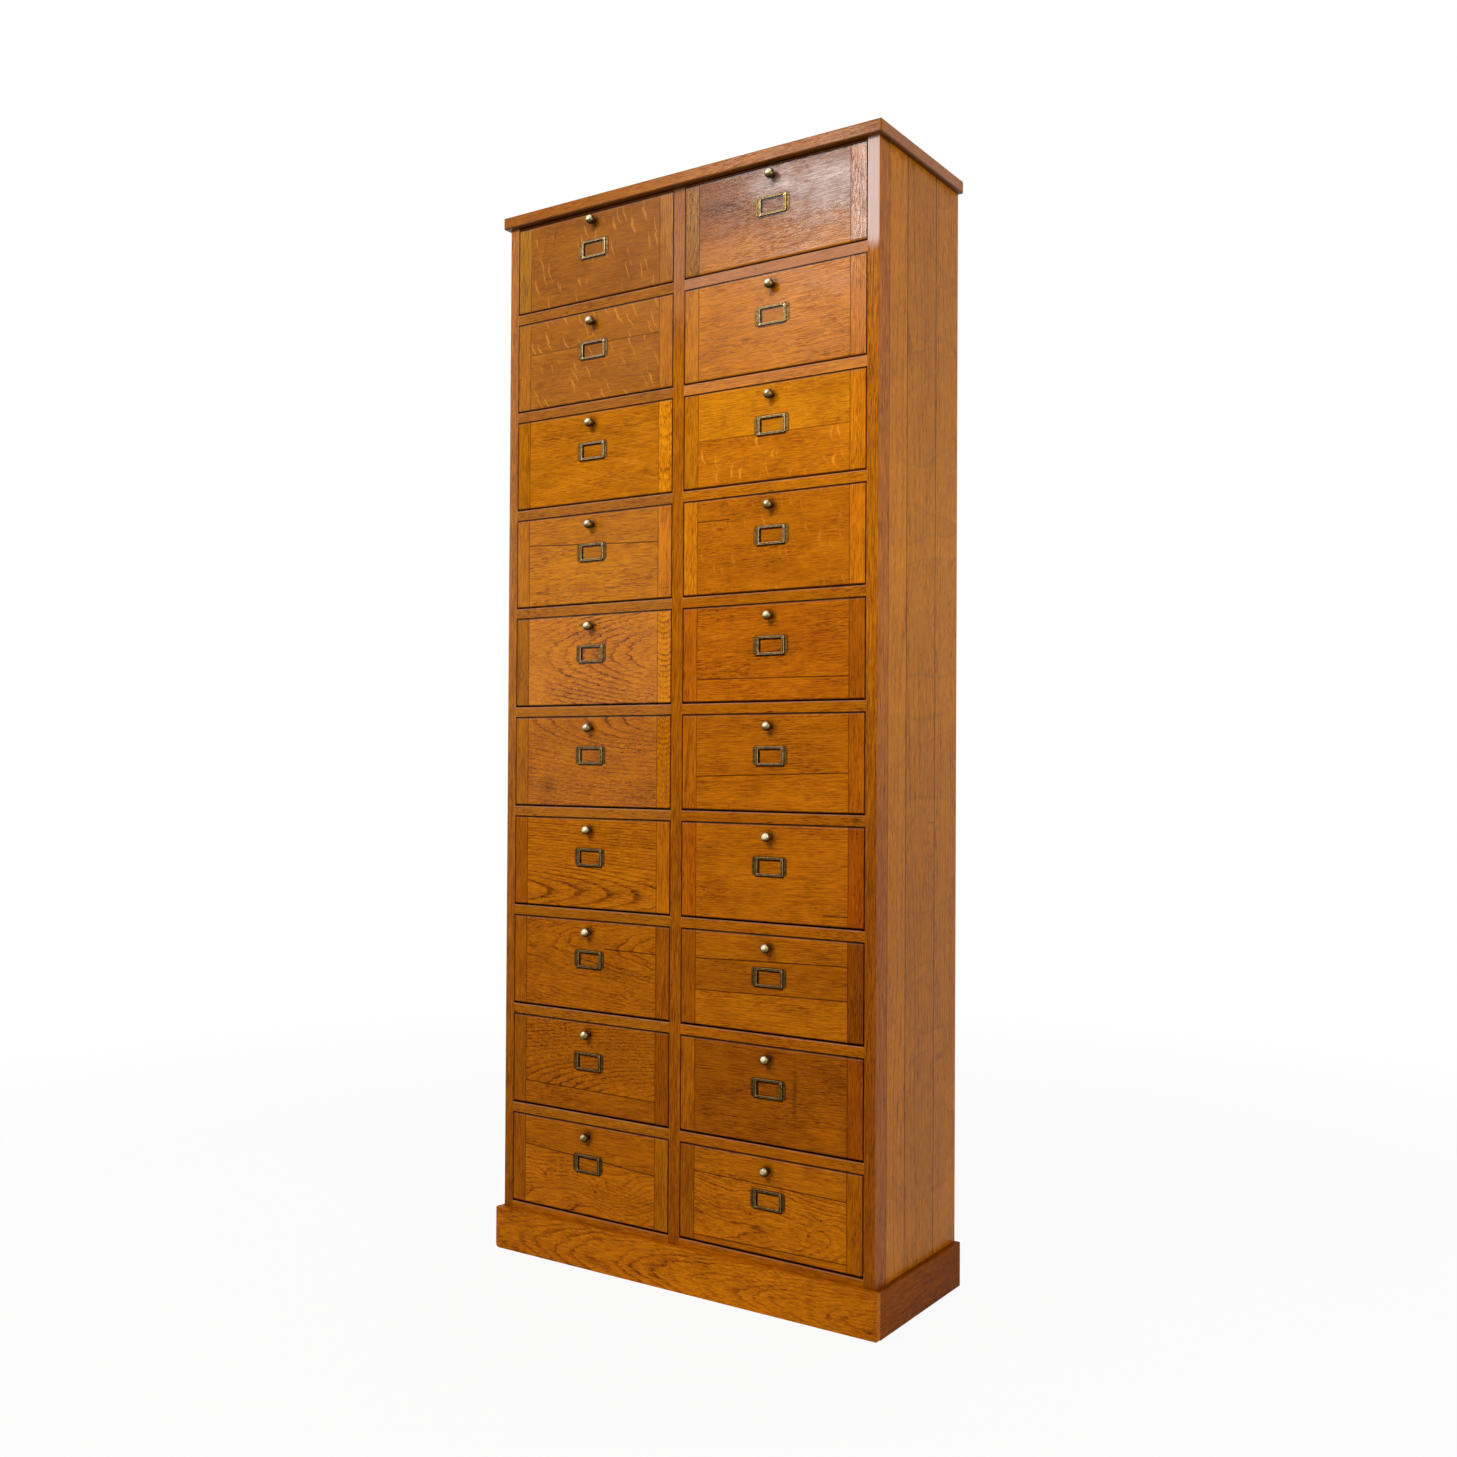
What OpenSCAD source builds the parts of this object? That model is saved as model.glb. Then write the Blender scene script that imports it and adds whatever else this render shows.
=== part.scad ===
// Oak filing cabinet with two columns of drop-front flaps.
// X runs along the front, Y into the depth, Z up. The origin is on the floor, in the middle of the
// whole object with its knobs. Pieces are drawn with Y = 0 on the flaps' outer face and then set back.

/* [Compartments] */
// Rows of flaps, one above another
rows = 10; // [3:1:10]
// Clear width of a compartment between its stiles
compartment_w = 409; // [340:1:460]
// Clear height of a compartment
compartment_h = 189.4; // [182:0.2:230]
// Clear height of the top compartment, which is a little lower
top_compartment_h = 183.4; // [180:0.2:230]

/* [Carcass] */
// Depth from the flaps' outer face to the back
carcass_d = 337; // [290:1:420]
// Width of an outer stile, seen from the front
stile_w = 23; // [20:0.5:35]
// Width of the centre stile
centre_stile_w = 26; // [24:0.5:40]
// Depth of a stile, seen from the side
stile_d = 42; // [36:1:60]
// Radius of the outer stiles' worn front corner
stile_edge_r = 1.5; // [0.5:0.5:3]
// Thickness of a side board
side_t = 20; // [18:0.5:23]
// Width of the first side board behind the stile
side_board_1 = 74; // [50:1:90]
// Width of the second side board
side_board_2 = 122; // [90:1:135]
// Thickness of the centre partition
partition_t = 20; // [16:0.5:24]
// Thickness of a shelf, seen as a rail
shelf_t = 20; // [16:0.5:26]
// Thickness of a bottom board
bottom_t = 20; // [16:0.5:26]
// Part of the bottom board's edge that shows above the plinth
bottom_reveal = 16; // [8:0.5:20]
// Thickness of the panel under the cornice
top_panel_t = 5; // [4.5:0.1:8]
// Depth of the housings that hold the shelves' ends
housing_depth = 6; // [4:0.5:7]
// Thickness of the tongues along board edges
tongue_t = 6; // [4:0.5:7]
// Length of those tongues
tongue_len = 6; // [4:0.5:8]

/* [Back] */
// Thickness of the back boards
back_t = 12; // [9:0.5:15]
// Side board left outside the back's rebate
back_lip = 10; // [6:0.5:12]
// Back boards side by side
back_boards_n = 8; // [6:1:10]
// Thickness of a back board's tongue
back_tongue_t = 4; // [3:0.5:4.5]
// Length of a back board's tongue
back_tongue_len = 5; // [3:0.5:8]

/* [Cornice and plinth] */
// Thickness of the cornice board
cornice_t = 25; // [18:0.5:32]
// Overhang of the cornice at the front
cornice_front = 12; // [4:0.5:25]
// Overhang of the cornice at each side
cornice_side = 10.8; // [4:0.2:25]
// Radius of the cornice's worn edges
cornice_edge_r = 3; // [1:0.5:6]
// Height of the plinth
plinth_h = 86; // [70:1:120]
// Thickness of the plinth boards
plinth_t = 12; // [9:0.5:20]
// Radius of the plinth's worn top edge
plinth_edge_r = 2; // [0.5:0.5:4]
// Radius of the worn lower left corner of the plinth
plinth_left_r = 8; // [2:0.5:8]
// Radius of the worn lower right corner of the plinth
plinth_right_r = 3; // [1:0.5:8]
// Height of the cleats under the bottom boards
cleat_h = 40; // [20:1:45]
// Thickness of those cleats
cleat_t = 20; // [15:0.5:30]

/* [Flaps] */
// Thickness of a flap
flap_t = 20; // [18:0.5:24]
// Gap between a flap and the stile beside it
flap_side_gap = 1.75; // [1:0.05:3]
// Gap under a flap
flap_bottom_gap = 2.5; // [2:0.1:4]
// Gap over a flap
flap_top_gap = 1.2; // [1:0.1:2.5]
// Width of a flap's end battens
batten_w = 34; // [26:0.5:45]
// Radius along the foot of the flap's outer face
foot_r = 5; // [4:0.5:6]
// Easing of the flap's other outer edges
edge_ease = 0.8; // [0.3:0.1:1.5]
// Height of a stop strip behind the top of a flap
stop_h = 8; // [5:0.5:12]
// Thickness of a stop strip
stop_t = 12; // [8:0.5:20]
// Length of a stop strip
stop_len = 320; // [100:5:330]
// Gap between a closed flap and its stop strip
stop_gap = 0.2; // [0.1:0.05:0.5]

/* [Pivots] */
// Diameter of a pivot pin
pivot_d = 5; // [3.5:0.1:5.5]
// Depth of the pivot behind the outer face
pivot_depth = 7; // [6.5:0.1:7.5]
// Height of the pivot above the shelf
pivot_height = 9; // [8.6:0.1:10]
// Length of a pivot pin inside the flap's batten
pivot_in_flap = 14; // [8:0.5:20]
// Length of a pivot pin inside the stile
pivot_in_stile = 9; // [6:0.5:10]
// Radial clearance of pins, shanks and nails in their holes
pin_clear = 0.05; // [0.02:0.01:0.1]

/* [Knobs] */
// Height of the knobs above the shelf
knob_height = 164; // [155:0.5:166]
// Diameter of the knob's ball
knob_ball_d = 19; // [14:0.5:22]
// Reach of the knob in front of the flap
knob_reach = 22; // [19:0.5:30]
// Diameter of the knob's neck
knob_neck_d = 8; // [5:0.5:10]
// Diameter of the knob's foot
knob_foot_d = 12; // [9:0.5:16]
// Thickness of the knob's foot
knob_foot_t = 1.8; // [1:0.2:2.6]
// Diameter of the knob's shank
knob_shank_d = 4; // [3:0.5:5]
// Length of the knob's shank in the flap
knob_shank_len = 14; // [8:0.5:16]

/* [Label holders] */
// Height of a label holder's middle above the shelf
label_height = 108; // [95:0.5:115]
// Width of a label holder
label_w = 75; // [66:0.5:90]
// Height of a label holder
label_h = 38; // [32:0.5:44]
// Width of its window
label_window_w = 51; // [40:0.5:52]
// Height of its window
label_window_h = 28; // [22:0.5:29]
// Width of the raised part around the window
label_raised_w = 60; // [56:0.5:61]
// Height of the raised part's face over the wood
label_raised = 2.6; // [2:0.1:4]
// Thickness of the holder's metal
label_metal = 0.9; // [0.5:0.1:1.2]
// Radius of the holder's outer corners
label_corner_r = 6; // [2:0.5:7]
// Radius of the window's corners
label_window_r = 2; // [0.5:0.5:4]
// Distance of the label pins above and below the holder's middle
label_pin_off = 10.5; // [6:0.5:12]
// Diameter of a label pin's shank
label_pin_d = 1.4; // [1:0.1:2]
// Diameter of a label pin's head
label_pin_head_d = 3; // [2.4:0.1:4]
// Height of a label pin's head
label_pin_head_t = 0.7; // [0.4:0.1:1.2]
// Length of a label pin
label_pin_len = 9; // [6:0.5:14]

/* [Catches] */
// Length of the spring leaf in a flap's top edge
leaf_len = 34; // [28:1:50]
// Width of the spring leaf
leaf_w = 8; // [6:0.5:10]
// Thickness of the spring leaf
leaf_t = 0.6; // [0.4:0.1:0.8]
// Rise of the leaf's crest over the flap's top edge
leaf_rise = 0.8; // [0.4:0.05:0.9]
// Length of each flat end of the leaf
leaf_foot = 6; // [5:0.5:8]
// Length of the leaf's flat crest
leaf_crest = 6; // [3:0.5:8]
// Depth of the mortise that holds the leaf
mortise_d = 2.4; // [2:0.1:4]
// Diameter of the leaf's pins
leaf_pin_d = 1.6; // [1.2:0.1:2]
// Length of the leaf's pins
leaf_pin_len = 10; // [6:0.5:14]
// Length of the strike plate under the shelf
strike_len = 24; // [18:0.5:36]
// Width of the strike plate
strike_w = 12; // [9:0.5:16]
// Thickness of the strike plate
strike_t = 1; // [0.6:0.1:1.4]
// Length of the strike plate's prongs
prong_len = 3; // [1.5:0.1:3.2]
// Diameter of the strike plate's prongs
prong_d = 1.4; // [1:0.1:2]

/* [Nails and screws] */
// Diameter of the plinth nails
plinth_nail_d = 2; // [1.4:0.1:2.6]
// Length of the plinth nails
plinth_nail_len = 26; // [20:1:28]
// Depth of the plinth nails below the surface
plinth_nail_sunk = 1.5; // [0.5:0.1:3]
// Diameter of the back nails
back_nail_d = 2; // [1.4:0.1:2.6]
// Length of the back nails
back_nail_len = 30; // [20:1:45]
// Diameter of the back nails' heads
back_nail_head_d = 4.4; // [3.5:0.1:5.5]
// Thickness of the back nails' heads
back_nail_head_t = 0.8; // [0.5:0.1:1.5]
// Distance of a back nail from the middle of its board
back_nail_off = 30; // [15:1:36]
// Diameter of the cornice screws
screw_d = 4.5; // [3:0.5:5]
// Diameter of the screws' heads
screw_head_d = 9; // [7:0.5:11]
// Length of the cornice screws
screw_len = 50; // [45:1:70]
// Distance of the rear screws from the back
screw_rear = 60; // [30:1:75]

/* [Hidden] */
$fn = 48;
hair = 0.15;
over = 1;

columns = ["left", "right"];

// Joints between a panel's boards, as shares of the flap's height at its left and right ends, from
// the lowest joint up: one list a row, from the top row down, for the left and the right column.
board_joints = [
    [[], [[0.63, 0.62]], [], [[0.70, 0.61]], [], [], [], [[0.71, 0.69]], [[0.26, 0.24]], [[0.67, 0.58]]],
    [[], [], [[0.49, 0.48]], [[0.77, 0.76]], [[0.24, 0.23]], [[0.35, 0.40]], [[0.10, 0.11]],
     [[0.37, 0.41], [0.70, 0.75]], [], [[0.07, 0.09], [0.73, 0.70]]]];

// Heights of the plinth's nails as shares of its height: in the centre stile, in an outer stile,
// in the end of a side plinth board, and along a side plinth board.
centre_nail_z = [0.36, 0.60, 0.70, 0.78, 0.87];
stile_nail_z = [0.14, 0.55, 0.72];
corner_nail_z = [0.26, 0.35, 0.44, 0.79];
side_nail_z = [0.35, 0.70];
side_nails_n = 3;

pitch = compartment_h + shelf_t;
first_z = plinth_h + bottom_reveal;
panel_z = first_z + (rows - 1) * pitch + top_compartment_h;
cornice_z = panel_z + top_panel_t;
carcass_w = 2 * (stile_w + compartment_w) + centre_stile_w;
half_w = carcass_w / 2;
back_y = carcass_d - back_t;
mid_y = (carcass_d - knob_reach) / 2;
outer_ext = stile_w - side_t + housing_depth;
inner_ext = (centre_stile_w - partition_t) / 2 + housing_depth;
flap_w = compartment_w - 2 * flap_side_gap;
panel_w = flap_w - 2 * batten_w;
back_pitch = (carcass_w - 2 * back_lip) / back_boards_n;
back_z = first_z - bottom_t - cleat_h;
leaf_y = flap_t / 2;
label_pin_x = (label_w + label_raised_w) / 4;
screw_head_t = (screw_head_d - screw_d) / 2;

function side_sign(c) = c == 0 ? -1 : 1;
function column_x(c) = side_sign(c) * (centre_stile_w + compartment_w) / 2;
function row_z(r) = first_z + (rows - 1 - r) * pitch;
function row_h(r) = r == 0 ? top_compartment_h : compartment_h;
function flap_h(r) = row_h(r) - flap_bottom_gap - flap_top_gap;
function row_name(c, r) = str(columns[c], r < 9 ? "_0" : "_", r + 1);

// Height of a panel joint at x, on the straight line through its two ends
function joint_at(joint, h, x) = h * (joint[0] + (joint[1] - joint[0]) * (x / panel_w + 0.5));

// Sets pieces back so that the origin lies in the middle of the whole depth
module placed() {
    translate([0, -mid_y, 0]) children();
}

module box(low, high) {
    translate(low) cube(high - low);
}

// Outline in Y and Z, drawn out along X from x0 to x1
module along_x(x0, x1) {
    translate([x0, 0, 0]) rotate([90, 0, 90]) linear_extrude(x1 - x0) children();
}

// Outline in X and Z, drawn out along Y from y0 to y1
module along_y(y0, y1) {
    translate([0, y1, 0]) rotate([90, 0, 0]) linear_extrude(y1 - y0) children();
}

// Round hole or pin along Y from y0 to y1
module rod_y(x, z, d, y0, y1) {
    translate([x, y0, z]) rotate([-90, 0, 0]) cylinder(d = d, h = y1 - y0);
}

// Round hole or pin along X from x0 to x1
module rod_x(y, z, d, x0, x1) {
    translate([x0, y, z]) rotate([0, 90, 0]) cylinder(d = d, h = x1 - x0);
}

// What a quarter round of radius r takes off a corner at the origin that lies in the first quadrant
module corner_cut(r) {
    difference() {
        translate([-over, -over]) square(r + over);
        translate([r, r]) circle(r);
    }
}

// Rectangle from the origin whose corners have radii in the order lower left, lower right,
// upper right, upper left
module worn_rectangle(w, h, radii) {
    difference() {
        square([w, h]);
        if (radii[0] > 0) corner_cut(radii[0]);
        if (radii[1] > 0) translate([w, 0]) mirror([1, 0]) corner_cut(radii[1]);
        if (radii[2] > 0) translate([w, h]) rotate(180) corner_cut(radii[2]);
        if (radii[3] > 0) translate([0, h]) mirror([0, 1]) corner_cut(radii[3]);
    }
}

// Each place of the cornice's screws
module each_screw() {
    front = [half_w - stile_w / 2, stile_d / 2];
    rear = [half_w - side_t / 2, carcass_d - screw_rear];
    for (p = [front, rear], s = [-1, 0, 1])
        translate([s * p[0], p[1], cornice_z + cornice_t]) children();
}

module screw_hole() {
    shank_d = screw_d + 2 * pin_clear;
    head_d = screw_head_d + 2 * pin_clear;
    translate([0, 0, -screw_len - over]) cylinder(d = shank_d, h = screw_len + over);
    translate([0, 0, -screw_head_t]) cylinder(d1 = shank_d, d2 = head_d, h = screw_head_t);
}

module screw() {
    slot_w = screw_head_d / 8;
    difference() {
        union() {
            translate([0, 0, -screw_len]) cylinder(d = screw_d, h = screw_len);
            translate([0, 0, -screw_head_t]) cylinder(d1 = screw_d, d2 = screw_head_d, h = screw_head_t);
        }
        box([-screw_head_d, -slot_w / 2, -slot_w], [screw_head_d, slot_w / 2, over]);
    }
}

module cornice_board() {
    w = carcass_w + 2 * cornice_side;
    d = carcass_d + cornice_front;
    r = cornice_edge_r;
    color("peru") difference() {
        intersection() {
            translate([-w / 2, -cornice_front, cornice_z]) linear_extrude(cornice_t)
                worn_rectangle(w, d, [r, r, 0, 0]);
            along_x(-w / 2, w / 2) translate([-cornice_front, cornice_z])
                worn_rectangle(d, cornice_t, [r, 0, 0, r]);
            along_y(-cornice_front, carcass_d) translate([-w / 2, cornice_z])
                worn_rectangle(w, cornice_t, [r, r, r, r]);
        }
        each_screw() screw_hole();
    }
}

// One board across a compartment, notched round its stiles and housed in the uprights
module cross_board(c, z, t) {
    x = column_x(c);
    low = x - compartment_w / 2;
    high = x + compartment_w / 2;
    low_ext = c == 0 ? outer_ext : inner_ext;
    high_ext = c == 0 ? inner_ext : outer_ext;
    translate([0, 0, z - t]) linear_extrude(t) union() {
        translate([low, 0]) square([compartment_w, back_y]);
        translate([low - low_ext, stile_d]) square([high - low + low_ext + high_ext, back_y - stile_d]);
    }
}

module strike_recess(c, r) {
    translate([column_x(c), leaf_y, row_z(r) + row_h(r)]) {
        box([-strike_len / 2, -strike_w / 2, -over], [strike_len / 2, strike_w / 2, strike_t]);
        for (s = [-1, 1]) translate([s * strike_len / 3, 0, 0])
            cylinder(d = prong_d + 2 * pin_clear, h = strike_t + prong_len + hair);
    }
}

// Thin panel under the cornice, over each column; it stops short of the rear rebate
module top_panels() {
    color("peru") difference() {
        for (c = [0, 1]) {
            x = column_x(c);
            w = compartment_w / 2;
            box([x - w, 0, panel_z], [x + w, back_y, cornice_z]);
        }
        for (c = [0, 1]) strike_recess(c, 0);
    }
}

// Pivot bores of one column's flaps in a stile whose face is at x, opening towards sign
module pivot_bores(x, sign) {
    for (r = [0:rows - 1]) {
        depth = pivot_in_stile + 2 * hair;
        far = x - sign * depth;
        near = x + sign * over;
        rod_x(pivot_depth, row_z(r) + pivot_height, pivot_d + 2 * pin_clear, min(far, near), max(far, near));
    }
}

// Each place of the plinth's nails, on its outer faces, with Z turned into the wood
module each_plinth_nail() {
    front = concat(
        [for (z = centre_nail_z) [0, z]],
        [for (s = [-1, 1], z = stile_nail_z) [s * (half_w - stile_w / 2), z]],
        [for (s = [-1, 1], z = corner_nail_z) [s * (half_w + plinth_t / 2), z]]);
    for (p = front) translate([p[0], -plinth_t, p[1] * plinth_h]) rotate([-90, 0, 0]) children();
    for (s = [-1, 1], i = [1:side_nails_n], z = side_nail_z)
        translate([s * (half_w + plinth_t), carcass_d * (i - 0.25) / side_nails_n, z * plinth_h])
            rotate([0, -s * 90, 0]) children();
}

module plinth_nail_holes() {
    each_plinth_nail() translate([0, 0, -over])
        cylinder(d = plinth_nail_d + 2 * pin_clear, h = over + plinth_nail_sunk + plinth_nail_len + hair);
}

module outer_stile(sign) {
    inner = half_w - stile_w;
    x0 = min(sign * inner, sign * half_w);
    left = sign < 0 ? stile_edge_r : 0;
    right = sign > 0 ? stile_edge_r : 0;
    color("sandybrown") difference() {
        translate([x0, 0, 0]) linear_extrude(cornice_z)
            worn_rectangle(stile_w, stile_d, [left, right, 0, 0]);
        tongue_groove(sign * (half_w - side_t / 2));
        pivot_bores(sign * inner, -sign);
        plinth_nail_holes();
        each_screw() screw_hole();
    }
}

// Groove in a stile's back for the tongue of the board behind it
module tongue_groove(x) {
    box([x - tongue_t / 2, stile_d - tongue_len - hair, -over],
        [x + tongue_t / 2, stile_d + over, cornice_z + over]);
}

module stile_left() {
    outer_stile(-1);
}

module stile_right() {
    outer_stile(1);
}

module stile_centre() {
    w = centre_stile_w / 2;
    color("sandybrown") difference() {
        box([-w, 0, 0], [w, stile_d, cornice_z]);
        tongue_groove(0);
        pivot_bores(-w, -1);
        pivot_bores(w, 1);
        plinth_nail_holes();
        each_screw() screw_hole();
    }
}

// Housings for the bottom board and every shelf in an upright's face at x, cut towards sign
module housings(x, sign) {
    for (k = [0:rows - 1]) {
        t = k == 0 ? bottom_t : shelf_t;
        top = first_z + k * pitch;
        x1 = x + sign * housing_depth;
        x2 = x - sign * over;
        box([min(x1, x2), stile_d - over, top - t], [max(x1, x2), back_y, top]);
    }
}

module side_boards(sign) {
    y1 = stile_d + side_board_1;
    y2 = y1 + side_board_2;
    x0 = min(sign * half_w, sign * (half_w - side_t));
    mid = sign * (half_w - side_t / 2);
    rebate = sign * (half_w - back_lip);
    color("saddlebrown") difference() {
        union() {
            box([x0, stile_d, 0], [x0 + side_t, y1 - hair, cornice_z]);
            box([mid - tongue_t / 2, stile_d - tongue_len, 0], [mid + tongue_t / 2, stile_d + over, cornice_z]);
            box([x0, y1, 0], [x0 + side_t, y2 - hair, cornice_z]);
            box([x0, y2, 0], [x0 + side_t, carcass_d, cornice_z]);
        }
        housings(sign * (half_w - side_t), sign);
        box([min(rebate, sign * (half_w - side_t - over)), back_y, back_z],
            [max(rebate, sign * (half_w - side_t - over)), carcass_d + over, cornice_z + over]);
        plinth_nail_holes();
        each_screw() screw_hole();
    }
}

module side_boards_left() {
    side_boards(-1);
}

module side_boards_right() {
    side_boards(1);
}

// Two boards behind the centre stile, housed on both faces
module partition_boards() {
    mid = (stile_d + back_y) / 2;
    w = partition_t / 2;
    color("burlywood") difference() {
        union() {
            box([-w, stile_d, 0], [w, mid - hair, cornice_z]);
            box([-tongue_t / 2, stile_d - tongue_len, 0], [tongue_t / 2, stile_d + over, cornice_z]);
            box([-w, mid, 0], [w, back_y, cornice_z]);
        }
        housings(-w, 1);
        housings(w, -1);
        each_screw() screw_hole();
    }
}

module shelves(c) {
    color("peru") difference() {
        for (k = [1:rows - 1]) cross_board(c, first_z + k * pitch, shelf_t);
        for (r = [1:rows - 1]) strike_recess(c, r);
        back_nail_holes();
    }
}

module shelves_left() {
    shelves(0);
}

module shelves_right() {
    shelves(1);
}

module bottom_boards() {
    color("peru") difference() {
        for (c = [0, 1]) cross_board(c, first_z, bottom_t);
        back_nail_holes();
    }
}

// Cleats that carry the bottom boards, behind the plinth and in front of the back boards
module bottom_cleats() {
    top = first_z - bottom_t;
    color("tan") for (c = [0, 1]) {
        low = column_x(c) - compartment_w / 2;
        high = column_x(c) + compartment_w / 2;
        box([low, 0, top - cleat_h], [high, cleat_t, top]);
        box([low, back_y - cleat_t, top - cleat_h], [high, back_y, top]);
    }
}

module plinth_front() {
    w = carcass_w + 2 * plinth_t;
    r = plinth_edge_r;
    color("peru") difference() {
        intersection() {
            along_y(-plinth_t, 0) translate([-w / 2, 0])
                worn_rectangle(w, plinth_h, [plinth_left_r, plinth_right_r, 0, 0]);
            along_x(-w / 2, w / 2) translate([-plinth_t, 0])
                worn_rectangle(plinth_t, plinth_h, [0, 0, 0, r]);
        }
        plinth_nail_holes();
    }
}

module plinth_side(sign) {
    x = min(sign * half_w, sign * (half_w + plinth_t));
    left = sign < 0 ? plinth_edge_r : 0;
    right = sign > 0 ? plinth_edge_r : 0;
    color("saddlebrown") difference() {
        along_y(0, carcass_d) translate([x, 0])
            worn_rectangle(plinth_t, plinth_h, [0, 0, right, left]);
        plinth_nail_holes();
    }
}

module plinth_left() {
    plinth_side(-1);
}

module plinth_right() {
    plinth_side(1);
}

module plinth_nails() {
    color("dimgray") each_plinth_nail() translate([0, 0, plinth_nail_sunk])
        cylinder(d = plinth_nail_d, h = plinth_nail_len);
}

// Each place of the back nails, on the back face, at the bottom board and every third shelf
module each_back_nail() {
    for (i = [0:back_boards_n - 1], s = [-1, 1], k = [0:3:rows - 1])
        translate([-half_w + back_lip + (i + 0.5) * back_pitch + s * back_nail_off, carcass_d,
                   first_z + k * pitch - shelf_t / 2])
            rotate([90, 0, 0]) children();
}

module back_nail_holes() {
    each_back_nail() {
        cylinder(d = back_nail_d + 2 * pin_clear, h = back_nail_len + hair);
        translate([0, 0, -over]) cylinder(d = back_nail_head_d + 2 * pin_clear, h = back_nail_head_t + over);
    }
}

module back_nails() {
    color("dimgray") each_back_nail() {
        cylinder(d = back_nail_d, h = back_nail_len);
        cylinder(d = back_nail_head_d, h = back_nail_head_t);
    }
}

// Outline of one back board, seen from above, with a tongue at its right and a groove at its left
module back_board_outline(first, last) {
    w = back_pitch - hair;
    low = (back_t - back_tongue_t) / 2;
    difference() {
        union() {
            square([w, back_t]);
            if (!last) translate([0, low + hair]) square([w + back_tongue_len, back_tongue_t - 2 * hair]);
        }
        if (!first) translate([-over, low]) square([back_tongue_len + over, back_tongue_t]);
    }
}

module back_boards() {
    color("burlywood") difference() {
        for (i = [0:back_boards_n - 1])
            translate([-half_w + back_lip + i * back_pitch + hair / 2, back_y, back_z])
                linear_extrude(cornice_z - back_z) back_board_outline(i == 0, i == back_boards_n - 1);
        back_nail_holes();
    }
}

module stop_strips() {
    color("tan") for (c = [0, 1], r = [0:rows - 1]) {
        y0 = flap_t + stop_gap;
        translate([column_x(c), 0, row_z(r) + row_h(r)])
            box([-stop_len / 2, y0, -stop_h], [stop_len / 2, y0 + stop_t, 0]);
    }
}

module strike_plate() {
    box([-strike_len / 2, -strike_w / 2, 0], [strike_len / 2, strike_w / 2, strike_t]);
    for (s = [-1, 1]) translate([s * strike_len / 3, 0, 0])
        cylinder(d = prong_d, h = strike_t + prong_len);
}

module strike_plates_and_screws() {
    color("darkgoldenrod") {
        for (c = [0, 1], r = [0:rows - 1])
            translate([column_x(c), leaf_y, row_z(r) + row_h(r)]) strike_plate();
        each_screw() screw();
    }
}

// The whole flap before it is parted: its foot is rounded and its other outer edges are eased
module flap_blank(h) {
    intersection() {
        along_x(-flap_w / 2, flap_w / 2) translate([0, flap_bottom_gap]) difference() {
            worn_rectangle(flap_t, h, [foot_r, 0, 0, 0]);
            ease_cut(h);
        }
        translate([0, 0, flap_bottom_gap]) linear_extrude(h) difference() {
            translate([-flap_w / 2, 0]) square([flap_w, flap_t]);
            for (s = [0, 1]) mirror([s, 0]) translate([flap_w / 2, 0]) rotate(90) ease_cut(0);
        }
    }
}

// Takes the arris off the corner at [0, h], whose material lies to the right and below
module ease_cut(h) {
    e = edge_ease;
    polygon([[-over, h - e - over], [e + over, h + over], [-over, h + over]]);
}

// One board of a panel between two joints, with tongues at its ends
module panel_board(h, below, above) {
    reach = panel_w / 2 + tongue_len;
    function low(x) = is_undef(below) ? -over : joint_at(below, h, x) + hair / 2;
    function high(x) = is_undef(above) ? h + over : joint_at(above, h, x) - hair / 2;
    translate([0, 0, flap_bottom_gap]) intersection() {
        along_y(-over, flap_t + over) polygon([[-reach - over, low(-reach - over)],
                                               [reach + over, low(reach + over)],
                                               [reach + over, high(reach + over)],
                                               [-reach - over, high(-reach - over)]]);
        translate([0, 0, -over]) linear_extrude(h + 2 * over) union() {
            translate([-panel_w / 2, 0]) square([panel_w, flap_t]);
            translate([-reach, (flap_t - tongue_t) / 2]) square([2 * reach, tongue_t]);
        }
    }
}

// End batten at sign's end, grooved for the panel's tongues
module batten(h, sign) {
    inner = panel_w / 2 + hair;
    groove = inner + tongue_len;
    x = [sign * inner, sign * (flap_w / 2 + over)];
    g = [sign * (inner - over), sign * groove];
    difference() {
        box([min(x), -over, -over], [max(x), flap_t + over, h + flap_bottom_gap + over]);
        box([min(g), (flap_t - tongue_t) / 2 - hair, -2 * over],
            [max(g), (flap_t + tongue_t) / 2 + hair, h + flap_bottom_gap + 2 * over]);
    }
}

// Holes in a flap for its pivots, knob, label pins and catch
module flap_holes(h) {
    top = flap_bottom_gap + h;
    for (s = [-1, 1]) {
        x = [s * (flap_w / 2 - pivot_in_flap - hair), s * (flap_w / 2 + over)];
        rod_x(pivot_depth, pivot_height, pivot_d + 2 * pin_clear, min(x), max(x));
        translate([s * (leaf_len - leaf_foot) / 2, leaf_y, top - mortise_d - leaf_pin_len - hair])
            cylinder(d = leaf_pin_d + 2 * pin_clear, h = leaf_pin_len + over);
        for (z = [-label_pin_off, label_pin_off])
            rod_y(s * label_pin_x, label_height + z, label_pin_d + 2 * pin_clear, -over,
                  label_pin_len - label_metal + hair);
    }
    rod_y(0, knob_height, knob_shank_d + 2 * pin_clear, -over, knob_shank_len + hair);
    box([-leaf_len / 2 - hair, leaf_y - leaf_w / 2 - hair, top - mortise_d],
        [leaf_len / 2 + hair, leaf_y + leaf_w / 2 + hair, top + over]);
}

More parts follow.
